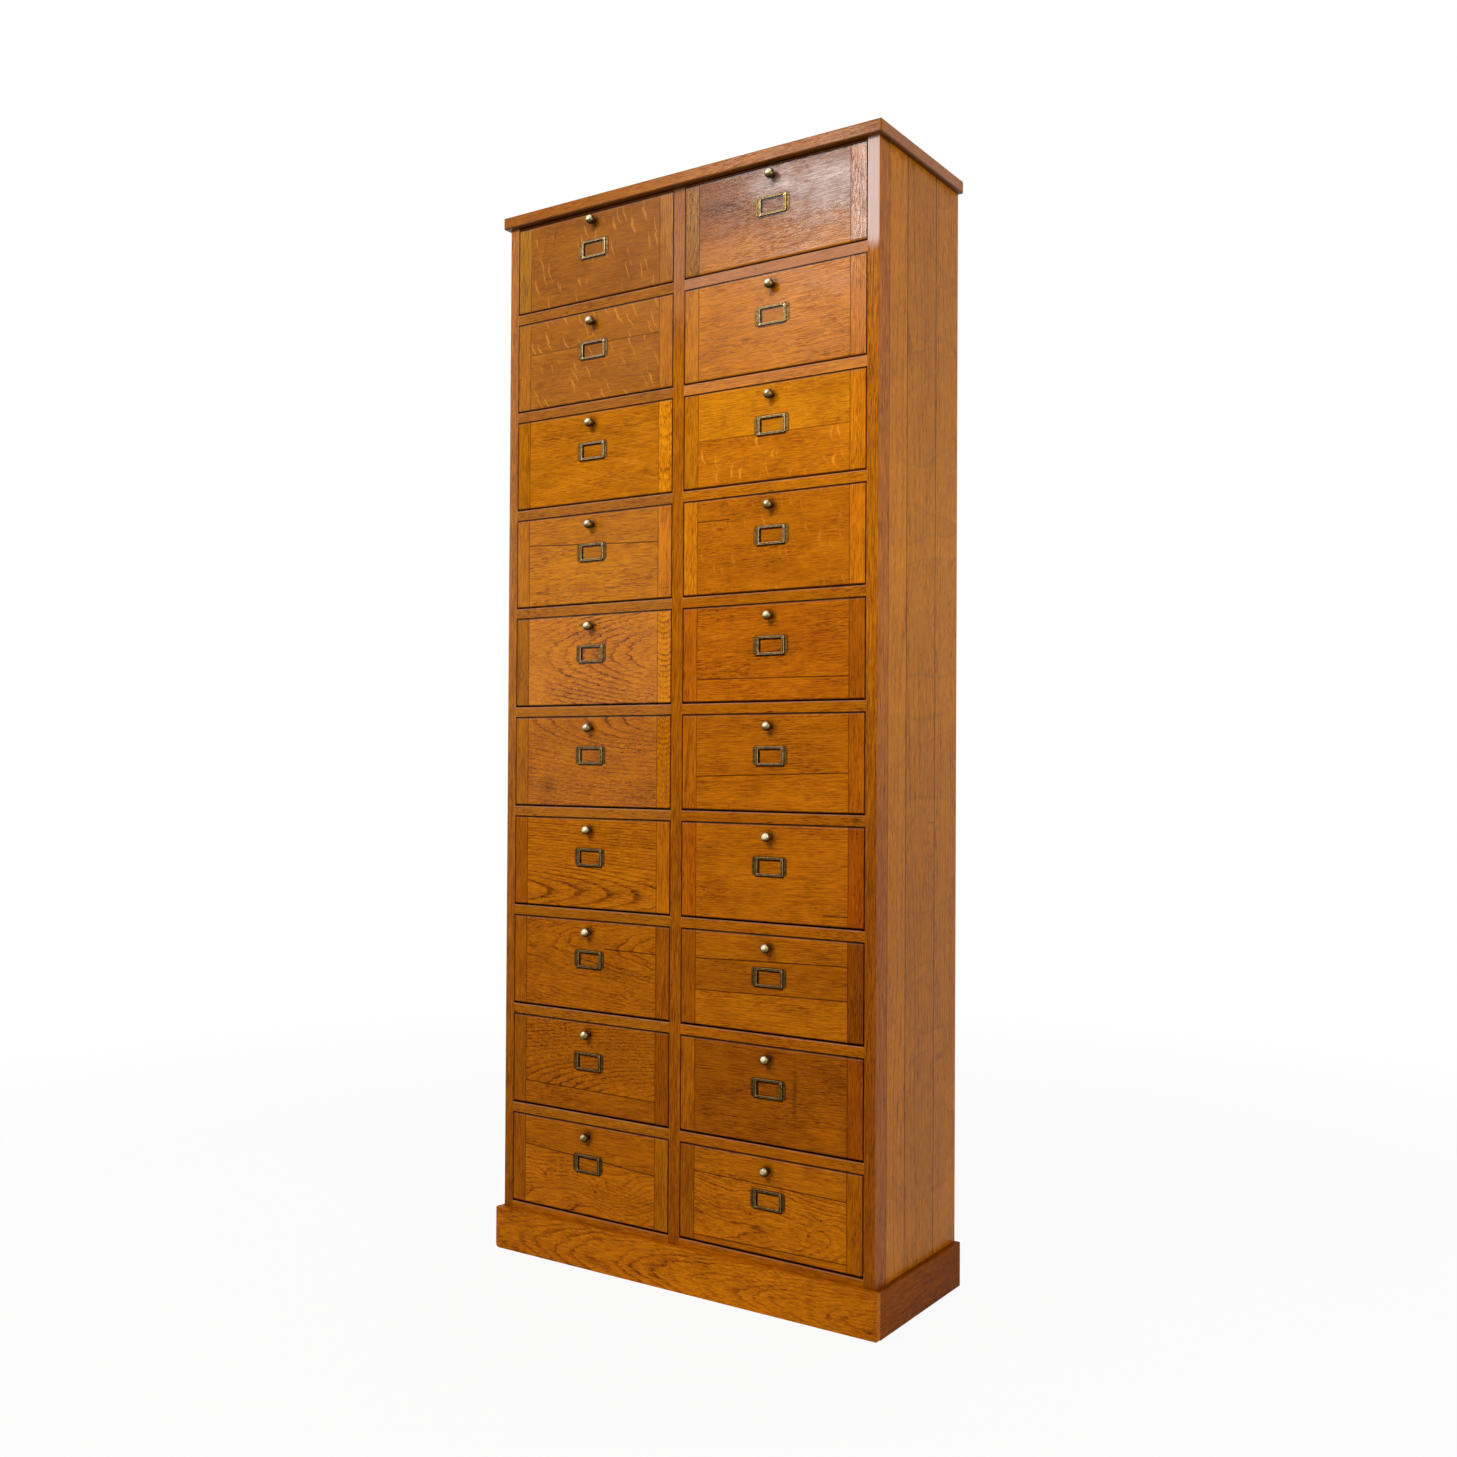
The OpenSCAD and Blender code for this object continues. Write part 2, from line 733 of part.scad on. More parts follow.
module flap(c, r) {
    h = flap_h(r);
    joints = board_joints[c][r];
    n = len(joints);
    color("goldenrod") translate([column_x(c), 0, row_z(r)]) difference() {
        intersection() {
            flap_blank(h);
            union() {
                batten(h, -1);
                batten(h, 1);
                for (i = [0:n])
                    panel_board(h, i == 0 ? undef : joints[i - 1], i == n ? undef : joints[i]);
            }
        }
        flap_holes(h);
    }
}

// Ball knob on the flap's face at the origin, with its shank in the wood
module knob() {
    ball_r = knob_ball_d / 2;
    rotate([90, 0, 0]) rotate_extrude() intersection() {
        union() {
            translate([0, knob_reach - ball_r]) circle(ball_r);
            square([knob_neck_d / 2, knob_reach - ball_r]);
            square([knob_foot_d / 2, knob_foot_t]);
            translate([0, -knob_shank_len]) square([knob_shank_d / 2, knob_shank_len + over]);
        }
        translate([0, -knob_shank_len]) square([knob_ball_d, knob_shank_len + knob_reach]);
    }
}

module centred_window(w, h, r) {
    translate([-w / 2, -h / 2]) worn_rectangle(w, h, [r, r, r, r]);
}

// Pressed brass frame: flat ears on the wood and a raised part round the window, open at its top
module label_holder() {
    m = label_metal;
    difference() {
        union() {
            along_y(-m, 0) difference() {
                centred_window(label_w, label_h, label_corner_r);
                square([label_raised_w, label_h + over], center = true);
            }
            along_y(-label_raised, m - label_raised)
                square([label_raised_w + 2 * m, label_h], center = true);
            for (s = [-1, 1]) along_y(-label_raised, 0)
                translate([s * (label_raised_w + m) / 2, 0]) square([m, label_h], center = true);
            along_y(-label_raised, 0) translate([0, (m - label_h) / 2])
                square([label_raised_w + m, m], center = true);
        }
        along_y(-label_raised - over, over) centred_window(label_window_w, label_window_h, label_window_r);
        for (s = [-1, 1], z = [-label_pin_off, label_pin_off])
            rod_y(s * label_pin_x, z, label_pin_d + 2 * pin_clear, -m - over, over);
    }
}

module label_pin() {
    r = label_pin_head_d / 2;
    rotate([90, 0, 0]) {
        translate([0, 0, -label_pin_len]) cylinder(d = label_pin_d, h = label_pin_len + over / 4);
        cylinder(r1 = r, r2 = r * 0.6, h = label_pin_head_t);
    }
}

// Side view of the leaf: two flat ends and a crest between them
module leaf_outline() {
    rise = mortise_d + leaf_rise - leaf_t;
    half = leaf_len / 2;
    bend = half - leaf_foot;
    crest = leaf_crest / 2;
    polygon([[-half, 0], [-bend, 0], [-crest, rise], [crest, rise], [bend, 0], [half, 0],
             [half, leaf_t], [bend + leaf_t / 4, leaf_t], [crest + leaf_t / 4, rise + leaf_t],
             [-crest - leaf_t / 4, rise + leaf_t], [-bend - leaf_t / 4, leaf_t], [-half, leaf_t]]);
}

module catch_leaf() {
    difference() {
        along_y(-leaf_w / 2, leaf_w / 2) leaf_outline();
        for (s = [-1, 1]) translate([s * (leaf_len - leaf_foot) / 2, 0, -over])
            cylinder(d = leaf_pin_d + 2 * pin_clear, h = leaf_t + 2 * over);
    }
    for (s = [-1, 1]) translate([s * (leaf_len - leaf_foot) / 2, 0, 0]) {
        translate([0, 0, -leaf_pin_len]) cylinder(d = leaf_pin_d, h = leaf_pin_len + leaf_t + hair);
        translate([0, 0, leaf_t + hair]) cylinder(d1 = leaf_pin_d * 1.8, d2 = leaf_pin_d, h = leaf_t);
    }
}

module fittings(c, r) {
    h = flap_h(r);
    color("darkkhaki") translate([column_x(c), 0, row_z(r)]) {
        translate([0, 0, knob_height]) knob();
        translate([0, 0, label_height]) label_holder();
        for (s = [-1, 1], z = [-label_pin_off, label_pin_off])
            translate([s * label_pin_x, -label_metal - hair, label_height + z]) label_pin();
        for (s = [-1, 1]) {
            x = [s * (flap_w / 2 - pivot_in_flap), s * (compartment_w / 2 + pivot_in_stile)];
            rod_x(pivot_depth, pivot_height, pivot_d, min(x), max(x));
        }
        translate([0, leaf_y, flap_bottom_gap + h - mortise_d]) catch_leaf();
    }
}

placed() cornice_board();
placed() top_panels();
placed() stile_left();
placed() stile_right();
placed() stile_centre();
placed() side_boards_left();
placed() side_boards_right();
placed() partition_boards();
placed() shelves_left();
placed() shelves_right();
placed() bottom_boards();
placed() bottom_cleats();
placed() plinth_front();
placed() plinth_left();
placed() plinth_right();
placed() plinth_nails();
placed() back_boards();
placed() back_nails();
placed() stop_strips();
placed() strike_plates_and_screws();
for (c = [0:1], r = [0:rows - 1]) {
    placed() flap(c, r);
    placed() fittings(c, r);
}
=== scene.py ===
import bpy
import math
from functools import partial, partialmethod, reduce
from mathutils import Matrix, Vector


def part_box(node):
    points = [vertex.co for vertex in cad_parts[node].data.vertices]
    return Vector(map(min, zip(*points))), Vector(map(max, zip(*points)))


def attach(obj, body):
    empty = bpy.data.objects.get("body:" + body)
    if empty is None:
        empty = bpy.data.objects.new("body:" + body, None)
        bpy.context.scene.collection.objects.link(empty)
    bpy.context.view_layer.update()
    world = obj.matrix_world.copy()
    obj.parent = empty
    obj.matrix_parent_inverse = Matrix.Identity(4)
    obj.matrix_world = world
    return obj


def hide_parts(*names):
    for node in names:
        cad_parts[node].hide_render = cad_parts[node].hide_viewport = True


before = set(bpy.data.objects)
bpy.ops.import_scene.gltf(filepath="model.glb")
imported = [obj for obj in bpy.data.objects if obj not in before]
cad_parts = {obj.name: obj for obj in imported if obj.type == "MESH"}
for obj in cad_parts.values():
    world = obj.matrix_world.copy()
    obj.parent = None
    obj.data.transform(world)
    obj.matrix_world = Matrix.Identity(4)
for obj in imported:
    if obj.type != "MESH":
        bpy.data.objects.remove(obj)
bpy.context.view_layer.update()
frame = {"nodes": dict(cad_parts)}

mm = 0.001
cabinetTall, firstRow, rowPitch = 2.2, 0.102, 0.2094
columnX = {"left": -0.2175, "right": 0.2175}
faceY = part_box("flap_left_02")[0].y  # the flaps' outer faces
nodes, scene = frame["nodes"], bpy.context.scene
scene.view_settings.view_transform = "Standard"
print("frame loaded:", len(nodes), "nodes")


class Wire:  # one socket of a node tree, used like a number
    def __init__(self, tree, socket=None):
        self.tree, self.socket = tree, socket

    def node(self, kind, settings=None, sockets=None, out=0):
        made = self.tree.nodes.new("ShaderNode" + kind)
        for name, value in (settings or {}).items():
            if name == "stops":  # a ramp's places and colours
                stops = made.color_ramp.elements
                while len(stops) < len(value):
                    stops.new(0.5)
                for stop, (place, colour) in zip(stops, value):
                    stop.position, stop.color = place, colour
            else:
                setattr(made, name, value)
        for name, value in (sockets or {}).items():
            if isinstance(value, Wire):
                self.tree.links.new(value.socket, made.inputs[name])
            else:
                made.inputs[name].default_value = value
        return Wire(self.tree, made.outputs[out])

    def maths(self, operation, *values, clamp=False):
        return self.node("Math", {"operation": operation, "use_clamp": clamp}, dict(enumerate(values)))

    def pair(self, operation, other):
        return self.maths(operation, self, other)

    __add__ = __radd__ = partialmethod(pair, "ADD")
    __mul__ = __rmul__ = partialmethod(pair, "MULTIPLY")
    __sub__ = partialmethod(pair, "SUBTRACT")
    __truediv__ = partialmethod(pair, "DIVIDE")
    __gt__ = partialmethod(pair, "GREATER_THAN")
    __lt__ = partialmethod(pair, "LESS_THAN")

    def __rsub__(self, other):
        return self.maths("SUBTRACT", other, self)

    def __abs__(self):
        return self.maths("ABSOLUTE", self)

    def most(self, *others):  # the largest of several
        return reduce(partial(self.maths, "MAXIMUM"), others, self)

    def least(self, *others):
        return reduce(partial(self.maths, "MINIMUM"), others, self)

    def span(self, other):  # a distance, from its two legs
        return self.maths("SQRT", self * self + other * other)

    def clip(self):
        return self.maths("ADD", self, 0, clamp=True)

    def ease(self, none, full):  # 0 at none, 1 at full, smooth between, whichever of the two is larger
        return self.node("MapRange", {"interpolation_type": "SMOOTHSTEP"}, {0: self, 1: none, 2: full})

    def parts(self):
        split = self.node("SeparateXYZ", None, {0: self}).socket.node
        return [Wire(self.tree, s) for s in split.outputs]

    def point(self, x, y, z):
        return self.node("CombineXYZ", None, {0: x, 1: y, 2: z})

    def noise(self, place, scale, detail=1, rough=0.5):
        return self.node("TexNoise", None, {
            "Vector": place, "Scale": scale, "Detail": detail, "Roughness": rough})

    def chance(self, number):  # a fixed value from 0 to 1 for each number
        return self.node("TexWhiteNoise", {"noise_dimensions": "1D"}, {"W": number})

    def blend(self, share, first, second, how="MIX"):
        settings = {"data_type": "RGBA", "blend_type": how}
        return self.node("Mix", settings, {0: share, 6: first, 7: second}, out=2)

    def bump(self, strength, depth):  # a height turned into a surface normal
        return self.node("Bump", None, {"Strength": strength, "Distance": depth, "Height": self})

    def times(self, factor):  # a colour or vector made stronger or weaker
        return self.node("VectorMath", {"operation": "SCALE"}, {0: self, "Scale": factor})

    def plus(self, other):
        return self.node("VectorMath", {"operation": "ADD"}, {0: self, 1: other})

    def soiledAndShaded(self, mask, depth=1):  # a colour made darker where the mask is
        return self.times(1 - mask * depth)

    def shaded(self, place, axis, tones):  # a wood colour made darker or paler from one end to the other: the wood's own tone together with painted shade and light
        start = 0 if axis == 2 else 0.5  # heights start at the floor, widths and depths in the middle
        headroom = 1.6  # a ramp's colours end at 1
        stops = [(at / cabinetTall + start, scaled(toned((1, 1, 1), tone), 1 / headroom))
                 for at, tone in tones]
        ramp = self.node("ValToRGB", {"stops": stops}, {0: place.parts()[axis] / cabinetTall + start})
        return self.blend(1, self, ramp, "MULTIPLY").times(headroom)


def scaled(colour, factor):
    return tuple(c * factor for c in colour[:3]) + (1,)


def toned(colour, tone, hue=1):  # old oak turns redder as it darkens
    return (colour[0] * tone, colour[1] * tone ** 1.25 * hue, colour[2] * tone ** 1.4, 1)


def newMaterial(name, shine):
    material = bpy.data.materials.new(name)
    material.use_nodes = True
    tree = material.node_tree
    shader = tree.nodes["Principled BSDF"]
    for socket, value in shine.items():
        shader.inputs[socket].default_value = value
    w = Wire(tree)
    return material, shader, w, w.node("TexCoord", out="Object")


def wireUp(shader, colour, rough=None, normal=None):
    for name, value in (("Base Color", colour), ("Roughness", rough), ("Normal", normal)):
        if value is not None:
            value.tree.links.new(value.socket, shader.inputs[name])


grainKinds = {  # waves in a metre along the board and across it, detail, and a shift to keep the kinds apart
    "teeth": (26, 150, 2, 9), "clumps": (7, 30, 1, 2), "threads": (25, 340, 3, 3),
    "hairs": (55, 800, 1.5, 13), "dashes": (62, 640, 1, 5), "pores": (90, 1350, 1, 17),
    "groups": (6, 26, 1, 19), "broad": (3.6, 24, 2, 7), "rays": (5, 16, 1, 11),
}
grainWeights = {  # how much each darkens the wood
    "all": 0.19, "rings": 0.62, "hairs": 0.85, "pores": 0.54, "broad": 0.42, "clouds": 0.5,
}
earlyWood = [  # how dark a ring is, from its start to its end
    (0, 0.7), (0.05, 1), (0.12, 0.75), (0.22, 0.28), (0.45, 0.06), (1, 0),
]


def oakGroup():  # the grain of a board, from its place in the log: along the log, and across it from the pith
    tree = bpy.data.node_groups.new("oakGrain", "ShaderNodeTree")
    numbers = "Seed Ring Waver Ripple Jag Swell Lines Pores Streaks Mottle Flecks Slant Curl"
    for kind, names in (("Vector", "Place Face"), ("Float", numbers), ("Color", "Light Mid Dark")):
        for name in names.split():
            tree.interface.new_socket(name=name, in_out="INPUT", socket_type="NodeSocket" + kind)
    for name, kind in {"Colour": "Color", "Height": "Float", "Dull": "Float"}.items():
        tree.interface.new_socket(name=name, in_out="OUTPUT", socket_type="NodeSocket" + kind)
    inlet = tree.nodes.new("NodeGroupInput")
    (place, face, seed, ring, waver, ripple, jag, swell, lines, pores, streaks, mottle, flecks, slant,
     curl, light, mid, dark) = [Wire(tree, s) for s in inlet.outputs if s.name]
    w, weigh = Wire(tree), grainWeights
    u, v, d = place.parts()
    shift = w.point(seed * 3.1, seed * 1.7, seed * 2.3)

    def grain(kind):  # noise drawn out along the board
        along, across, detail, by = grainKinds[kind]
        drawn = w.point(u * along, v * across, d * across)
        return w.noise(drawn.plus(shift).plus((by, by, by)), 1, detail, 0.55)

    slow = w.noise(w.point(u * ripple, v * ripple * 2.4, d * ripple * 2.4).plus(shift), 1)
    turns = (v.span(d) + (slow - 0.5) * 2 * waver + (grain("teeth") - 0.5) * jag + swell) / ring
    count = w.maths("FLOOR", turns)
    turn = turns - count
    stops = [(at, (g, g, g, 1)) for at, g in earlyWood]
    early = w.node("ValToRGB", {"stops": stops}, {0: turn * ring * 166})
    early = early.most(turn.ease(0.94, 1) * 0.7)
    early = early * (w.chance(count + seed) * 0.7 + 0.3) * (grain("clumps") * 1.6 + 0.2)
    threads, hairs, broad = grain("threads"), grain("hairs"), grain("broad")
    dash = (grain("dashes") - 0.565 + early * lines * 0.11) * 15
    pore = (grain("pores") - 0.6 + early * lines * 0.12) * 9
    pore = (dash.clip() * grain("groups").ease(0.38, 0.66)).most(pore.clip() * 0.55) * pores
    cloud = w.noise(place.plus(shift), 15, 3)
    patchy = ((broad - 0.5) * weigh["broad"] + (cloud - 0.5) * weigh["clouds"]) * mottle
    shade = (weigh["all"] + early * lines * weigh["rings"] + (threads - 0.5) * streaks
             + (hairs - 0.5) * weigh["hairs"] + pore * weigh["pores"] - patchy).clip() * 2
    colour = w.blend((shade - 1).clip(), w.blend(shade.clip(), light, mid), dark)
    # rays cut open: short pale crescents across the grain, one in each cell
    fu, fv, _ = face.parts()
    wander = w.noise(face.plus(shift), 46) - 0.5
    au, av = (fu + fv * slant + wander * 0.014) * 36 + seed, fv * 22 + seed * 2
    flat = {"voronoi_dimensions": "2D"}
    cell = w.node("TexVoronoi", flat, {"Vector": w.point(au, av, 0), "Scale": 1}, out=2)
    cu, cv, _ = cell.parts()
    lot = w.node("TexWhiteNoise", {"noise_dimensions": "3D"}, {"Vector": cell})
    ou, ov = au - cu, av - cv
    bow = ou - ov * ov * curl + 0.1
    stroke = (1 - abs(bow) * (6 + lot * 9)).clip() * (1 - abs(ov * 2.1)).clip()
    fleck = stroke * (lot > 0.14) * grain("rays").ease(0.36, 0.52) * 2.2 * flecks
    colour = w.blend(fleck.clip() * 0.6, colour, light.plus((0.08, 0.06, 0.02)).times(1.3))
    height = (threads - 0.5) * 0.7 - pore * 0.8 - early * lines * 0.4 + fleck * 0.1
    dull = pore * 0.16 + (broad + threads - 1) * 0.22
    outlet = tree.nodes.new("NodeGroupOutput")
    for name, value in {"Colour": colour, "Height": height, "Dull": dull}.items():
        tree.links.new(value.socket, outlet.inputs[name])
    return tree


def inMetres(**sizes):  # from millimetres
    return {name: size * mm for name, size in sizes.items()}


knobSizes = inMetres(height=164, ball=9.5, reach=22, neck=4, foot=6, footThick=1.8)
holderSizes = inMetres(
    height=108, width=75, tall=35, earTall=34, windowWide=52, windowTall=28, raised=61.8, proud=2.6,
    metal=0.9, corner=6, edge=0.6, shoulder=3, windowCorner=3, pinX=33.75, pinZ=10.5, pinHead=1.6,
    cutCorner=51.5,  # width and height to it from the middle, added up
)
flapSizes = inMetres(
    batten=34, seam=0.15, footRadius=5, footGap=2.5, arris=0.7, thick=20, panel=338, battenMiddle=186.75,
    mortiseLong=34.6, mortiseDeep=8.6, mortiseTall=2.4, jointWide=1.6,
    panelEnd=169.8, battenEnd=16.8,  # how far the dirt's frame is from the middle
)
sheenColour = (0.62, 0.47, 0.42, 1)  # pale colour for painted sheen, reflections and highlights
oak = {
    "group": oakGroup(),
    "light": (0.7, 0.218, 0.003), "mid": (0.37, 0.094, 0.0015), "dark": (0.08, 0.015, 0.001),
    "knot": (0.05, 0.014, 0.003, 1), "flank": (0.2, 0.22, 0.2, 1),
    "relief": 0.4 * mm,
    "gapDepth": 24 * mm, "skin": 5 * mm,  # how far the painted shade and dirt reach into the gaps, and into a flap's edge
}
cuts = {  # how a board was taken from the log, and how strongly its figure shows
    "plain": dict(pith=(-0.3, 0.06), lean=(0.03, 0.02), ring=0.0046, waver=0.006, lines=0.3, pores=0.7),
    "rift": dict(pith=(-0.16, 0.12), lean=(0.02, 0.01), ring=0.0034, waver=0.003, lines=0.26, pores=0.6),
    "quarter": dict(pith=(-0.34, 0.01), lean=(0.01, 0), ring=0.0034, waver=0.004, lines=0.15, pores=0.35,
                    flecks=1, streaks=0.7),
    "arches": dict(pith=(0.05, 0.06), lean=(0, 0.07), ring=0.005, waver=0.004, ripple=5, lines=0.75,
                   pores=0.5),
    "waves": dict(pith=(0.05, 0.05), lean=(0, 0.12), ring=0.0052, waver=0.012, ripple=8, jag=0.006,
                  lines=0.8, pores=0.6),
}
common = dict(seed=1, tone=1, ripple=3.5, jag=0.003, streaks=1, mottle=0.8, flecks=0, slant=0.4,
              curl=0.35, hue=1, shine=0.025, gloss=0.24, seamWide=1.1 * mm, uneven=0.16, shadesBy=2)


# the axes are along the grain, across the face and into the wood
def oakMaterial(name, axes, centre, look, rim=None):
    cut = dict(common, **dict(cuts[look.get("cut", "plain")], **look))
    material, shader, w, place = newMaterial(name, {"Specular IOR Level": cut["shine"]})
    at = dict(zip("xyz", place.parts()))
    u, v, d = (at[axis] - middle for axis, middle in zip(axes, centre))
    seams, board = cut.get("seams", ()), None
    for edge in seams:  # where one board of the node meets the next
        passed = v > edge
        board = passed if board is None else board + passed

    def eddy(ku, kv, size, power):  # how far a knot or an eddy is, and how the rings bend round it
        away = w.maths("SQRT", (u - ku) * (u - ku) * 0.35 + (v - kv) * (v - kv)) / size
        return away, w.maths("EXPONENT", away * away * -0.5) * (power * cut["ring"])

    swell, heart = 0, None
    for knot in cut.get("knots", ()):  # each has a dark heart
        away, bent = eddy(*knot)
        swell = bent + swell
        dark = (away + w.noise(place, 160, 2) * 0.3).ease(0.62, 0.28)
        heart = dark if heart is None else heart.most(dark)
    for whirl in cut.get("eddies", ()):
        swell = eddy(*whirl)[1] + swell
    pithV, pithD = cut["pith"]
    leanV, leanD = cut["lean"]
    across, deep, seed = v - pithV - u * leanV, d * -1 + pithD + u * leanD, cut["seed"]
    if "pitch" in cut:  # a row of boards, one above the other
        board = w.maths("FLOOR", (v + cut["pitch"] / 2) / cut["pitch"])
    if board is not None:
        across, deep, seed = across + board * 0.037, deep + board * 0.021, board * 5.3 + seed
    lines = cut["lines"]
    if "fade" in cut:  # the figure is strong in one part of the board only
        middle, reach = cut["fade"]
        lines = (1 - abs(u - middle).ease(reach * 0.4, reach) * 0.75) * lines
    inlets = {"Place": w.point(u, across, deep), "Face": w.point(u, v, 0), "Seed": seed,
              "Swell": swell, "Lines": lines}
    for key in ("Light", "Mid", "Dark"):
        inlets[key] = toned(oak[key.lower()], cut["tone"], cut["hue"])
    for key in "Ring Waver Ripple Jag Pores Streaks Mottle Flecks Slant Curl".split():
        inlets[key] = cut[key.lower()]
    grain = w.node("Group", {"node_tree": oak["group"]}, inlets).socket.node
    colour, height, dull = (Wire(w.tree, s) for s in grain.outputs)
    if heart is not None:
        colour = w.blend(heart * 0.8, colour, oak["knot"])

    def patch(su, sv, ru, rv, turn=0):  # a soft oval area
        c, s = math.cos(math.radians(turn)), math.sin(math.radians(turn))
        a, b = ((u - su) * c + (v - sv) * s) / ru, ((v - sv) * c - (u - su) * s) / rv
        return (w.noise(w.point(u, v, d), 45, 2) * 0.8 + a.span(b)).ease(1.5, 0.5)

    for su, sv, ru, rv, depth, *turn in cut.get("stains", ()):  # darker areas, or with a minus, paler ones
        colour = colour.soiledAndShaded(patch(su, sv, ru, rv, *turn), depth)
    for au, av, bu, bv, wide, *depth in cut.get("marks", ()):  # scratches, cracks and notches
        run = math.hypot(bu - au, bv - av)
        cu, cv = (bu - au) / run, (bv - av) / run
        along = (u - au) * cu + (v - av) * cv
        off = abs((v - av) * cu - (u - au) * cv).most(abs(along - run / 2) - run / 2)
        colour = colour.soiledAndShaded(off.ease(wide, wide * 0.3), depth[0] if depth else 0.75)
    for edge in seams:
        wide = cut["seamWide"]
        colour = colour.soiledAndShaded(abs(v - edge).ease(wide, wide * 0.3), 0.7)
    if "bands" in cut:  # faint lines that the varnishing left across the boards
        slope, start, depth = cut["bands"]
        sag = w.noise(w.point(u * 9 - v * 9 * slope, v * 2, cut["seed"]), 1, 2)
        thin = abs(sag - 0.5).ease(0.016, 0) * v.ease(start - 0.01, start + 0.01)
        colour = colour.soiledAndShaded(thin, depth).times((sag > 0.5) * (depth * 0.4) + (1 - depth * 0.2))
    if "shades" in cut:  # darker and paler along the run: the wood's own tone together with painted shade and light
        face = colour.shaded(place, cut["shadesBy"], cut["shades"])
        if "flank" in cut:  # the side face painted duller and greyer, as painted shade with a little painted sheen
            side = w.blend(0.06, colour.shaded(place, 2, cut["flank"]), oak["flank"])
            face = w.blend(abs(d).ease(1 * mm, 2 * mm), face, side)
        colour = face
    for edge, step in zip(seams, cut.get("boardTones", ())):
        colour = colour.times((v > edge) * (step - 1) + 1)
    for su, sv, ru, rv, share, *turn in cut.get("milky", ()):  # painted reflections of light on the varnish, as milky pale patches
        streak = w.noise(w.point(u * 20, v * 320, 0), 1, 2).ease(0.3, 0.7)
        colour = w.blend(patch(su, sv, ru, rv, *turn) * (streak + 0.35) * share, colour, sheenColour)
    if "paintedSheen" in cut:  # a painted sheen of reflected light on the front, above a height
        none, full, share, *glare = cut["paintedSheen"]
        streak = w.noise(w.point(u * 8, v * 60, d * 60), 1, 2) * 0.03
        milky = (at["z"] + streak).ease(none, full) * (at["y"] < faceY + 2 * mm)
        colour = w.blend(milky * share, colour, scaled(sheenColour, *glare or (1,)))
    if "arris" in cut:  # each rail's top edge, a pale painted highlight
        rise = w.maths("MODULO", at["z"] - (firstRow - rowPitch), rowPitch)
        worn = rise.ease(rowPitch - 2.8 * mm, rowPitch - 1.4 * mm) * (abs(d) < 1.2 * mm)
        colour = w.blend(worn * cut["arris"], colour, sheenColour)
    if "paintedShade" in cut:  # painted shade under an overhang
        noShade, fullShade, share = cut["paintedShade"]
        colour = colour.soiledAndShaded(at["z"].ease(noShade, fullShade), share)
    if board is not None:
        uneven = cut["uneven"]
        colour = colour.times(w.chance(board + cut["seed"]) * uneven + (1 - uneven / 2))
    if rim:  # dirt and dark joints along the edges of a board, and painted shade where they border the gaps: its lowest and highest u, then its lowest and highest v
        inside = (u - rim[0]).least(rim[1] - u, v - rim[2], rim[3] - v)
        raggedEdge = w.noise(place, 70, 2) * (1.6 * mm)
        colour = colour.times((inside + raggedEdge).ease(0.3 * mm, 2.6 * mm) * 0.42 + 0.58)
    if "outer" in cut:  # painted shade on the batten's edge by the gap between flap and stile
        inward = abs(v * cut["outer"] - flapSizes["batten"] / 2)
        colour = colour.soiledAndShaded(inward.ease(3 * mm, 1.2 * mm) * d.ease(oak["skin"], 1.5 * mm), 0.8)
    if "ends" in cut:  # painted shade by the gaps at a flap's lowest and highest height, and a pale painted highlight just below the top
        low, high = cut["ends"]
        drop, ahead = high - at["z"], d.ease(oak["skin"], 1.5 * mm)
        colour = colour.soiledAndShaded((at["z"] - low).ease(3 * mm, 1 * mm) * ahead, 0.8)
        colour = w.blend(drop.ease(5.5 * mm, 4 * mm) * ahead * 0.07, colour, sheenColour)
        colour = colour.soiledAndShaded(drop.ease(3.2 * mm, 1.6 * mm) * ahead, 0.85)
    if "fitted" in cut:  # painted shadows of the label holder, in its window and under it, and of the knob, with dirt round the knob
        s, dv, high = holderSizes, v - holderSizes["height"], v - knobSizes["height"]
        hu, hv = abs(u), abs(dv)
        wide, tall = s["windowWide"] / 2, s["windowTall"] / 2
        corner = (u + wide).ease(5.5 * mm, 3.2 * mm).most((tall - dv).ease(5.5 * mm, 3.2 * mm))
        dirtAndShade = (corner * 0.92).most(0.14) * ((hu - wide).most(hv - tall) < 1.2 * mm)
        outline = (hu - s["width"] / 2).most(hv - s["tall"] / 2, (hu + hv - s["cutCorner"]) * 0.7)
        under = abs(dv + s["tall"] / 2 + 1 * mm).ease(4.2 * mm, 1.6 * mm) * (hu < 32 * mm)
        dirtAndShade = dirtAndShade.most(abs(outline).ease(3 * mm, 0.8 * mm) * 0.5, under * 0.9)
        underKnob = (high * 0.6 + 6 * mm).span(u).ease(10 * mm, 4 * mm)
        dirtAndShade = dirtAndShade.most(high.span(u).ease(18 * mm, 6 * mm).most(underKnob) * 0.5)
        colour = colour.soiledAndShaded(dirtAndShade * (d < oak["skin"]), w.noise(place, 120) * 0.4 + 0.8)
    if "reveal" in cut:  # painted shade in the gaps beside the flaps
        inward, side = abs(d), cut["reveal"]
        paintedShade = inward.ease(0.8 * mm, 2.2 * mm) * inward.ease(oak["gapDepth"], oak["gapDepth"] * 0.6)
        if side:  # only the face towards the flaps
            paintedShade = paintedShade * (v * side > 21 * mm)
        colour = colour.soiledAndShaded(paintedShade, 0.8)
    smudge = w.noise(place, 22, 3)
    normal = (height + w.noise(place, 9) * 2).bump(0.6, oak["relief"])
    wireUp(shader, colour, dull + smudge * 0.12 + (cut["gloss"] - 0.06), normal)
    return material


def wear(piece, material):
    for slot in piece.material_slots:
        slot.material = material
    if not piece.material_slots:
        piece.data.materials.append(material)


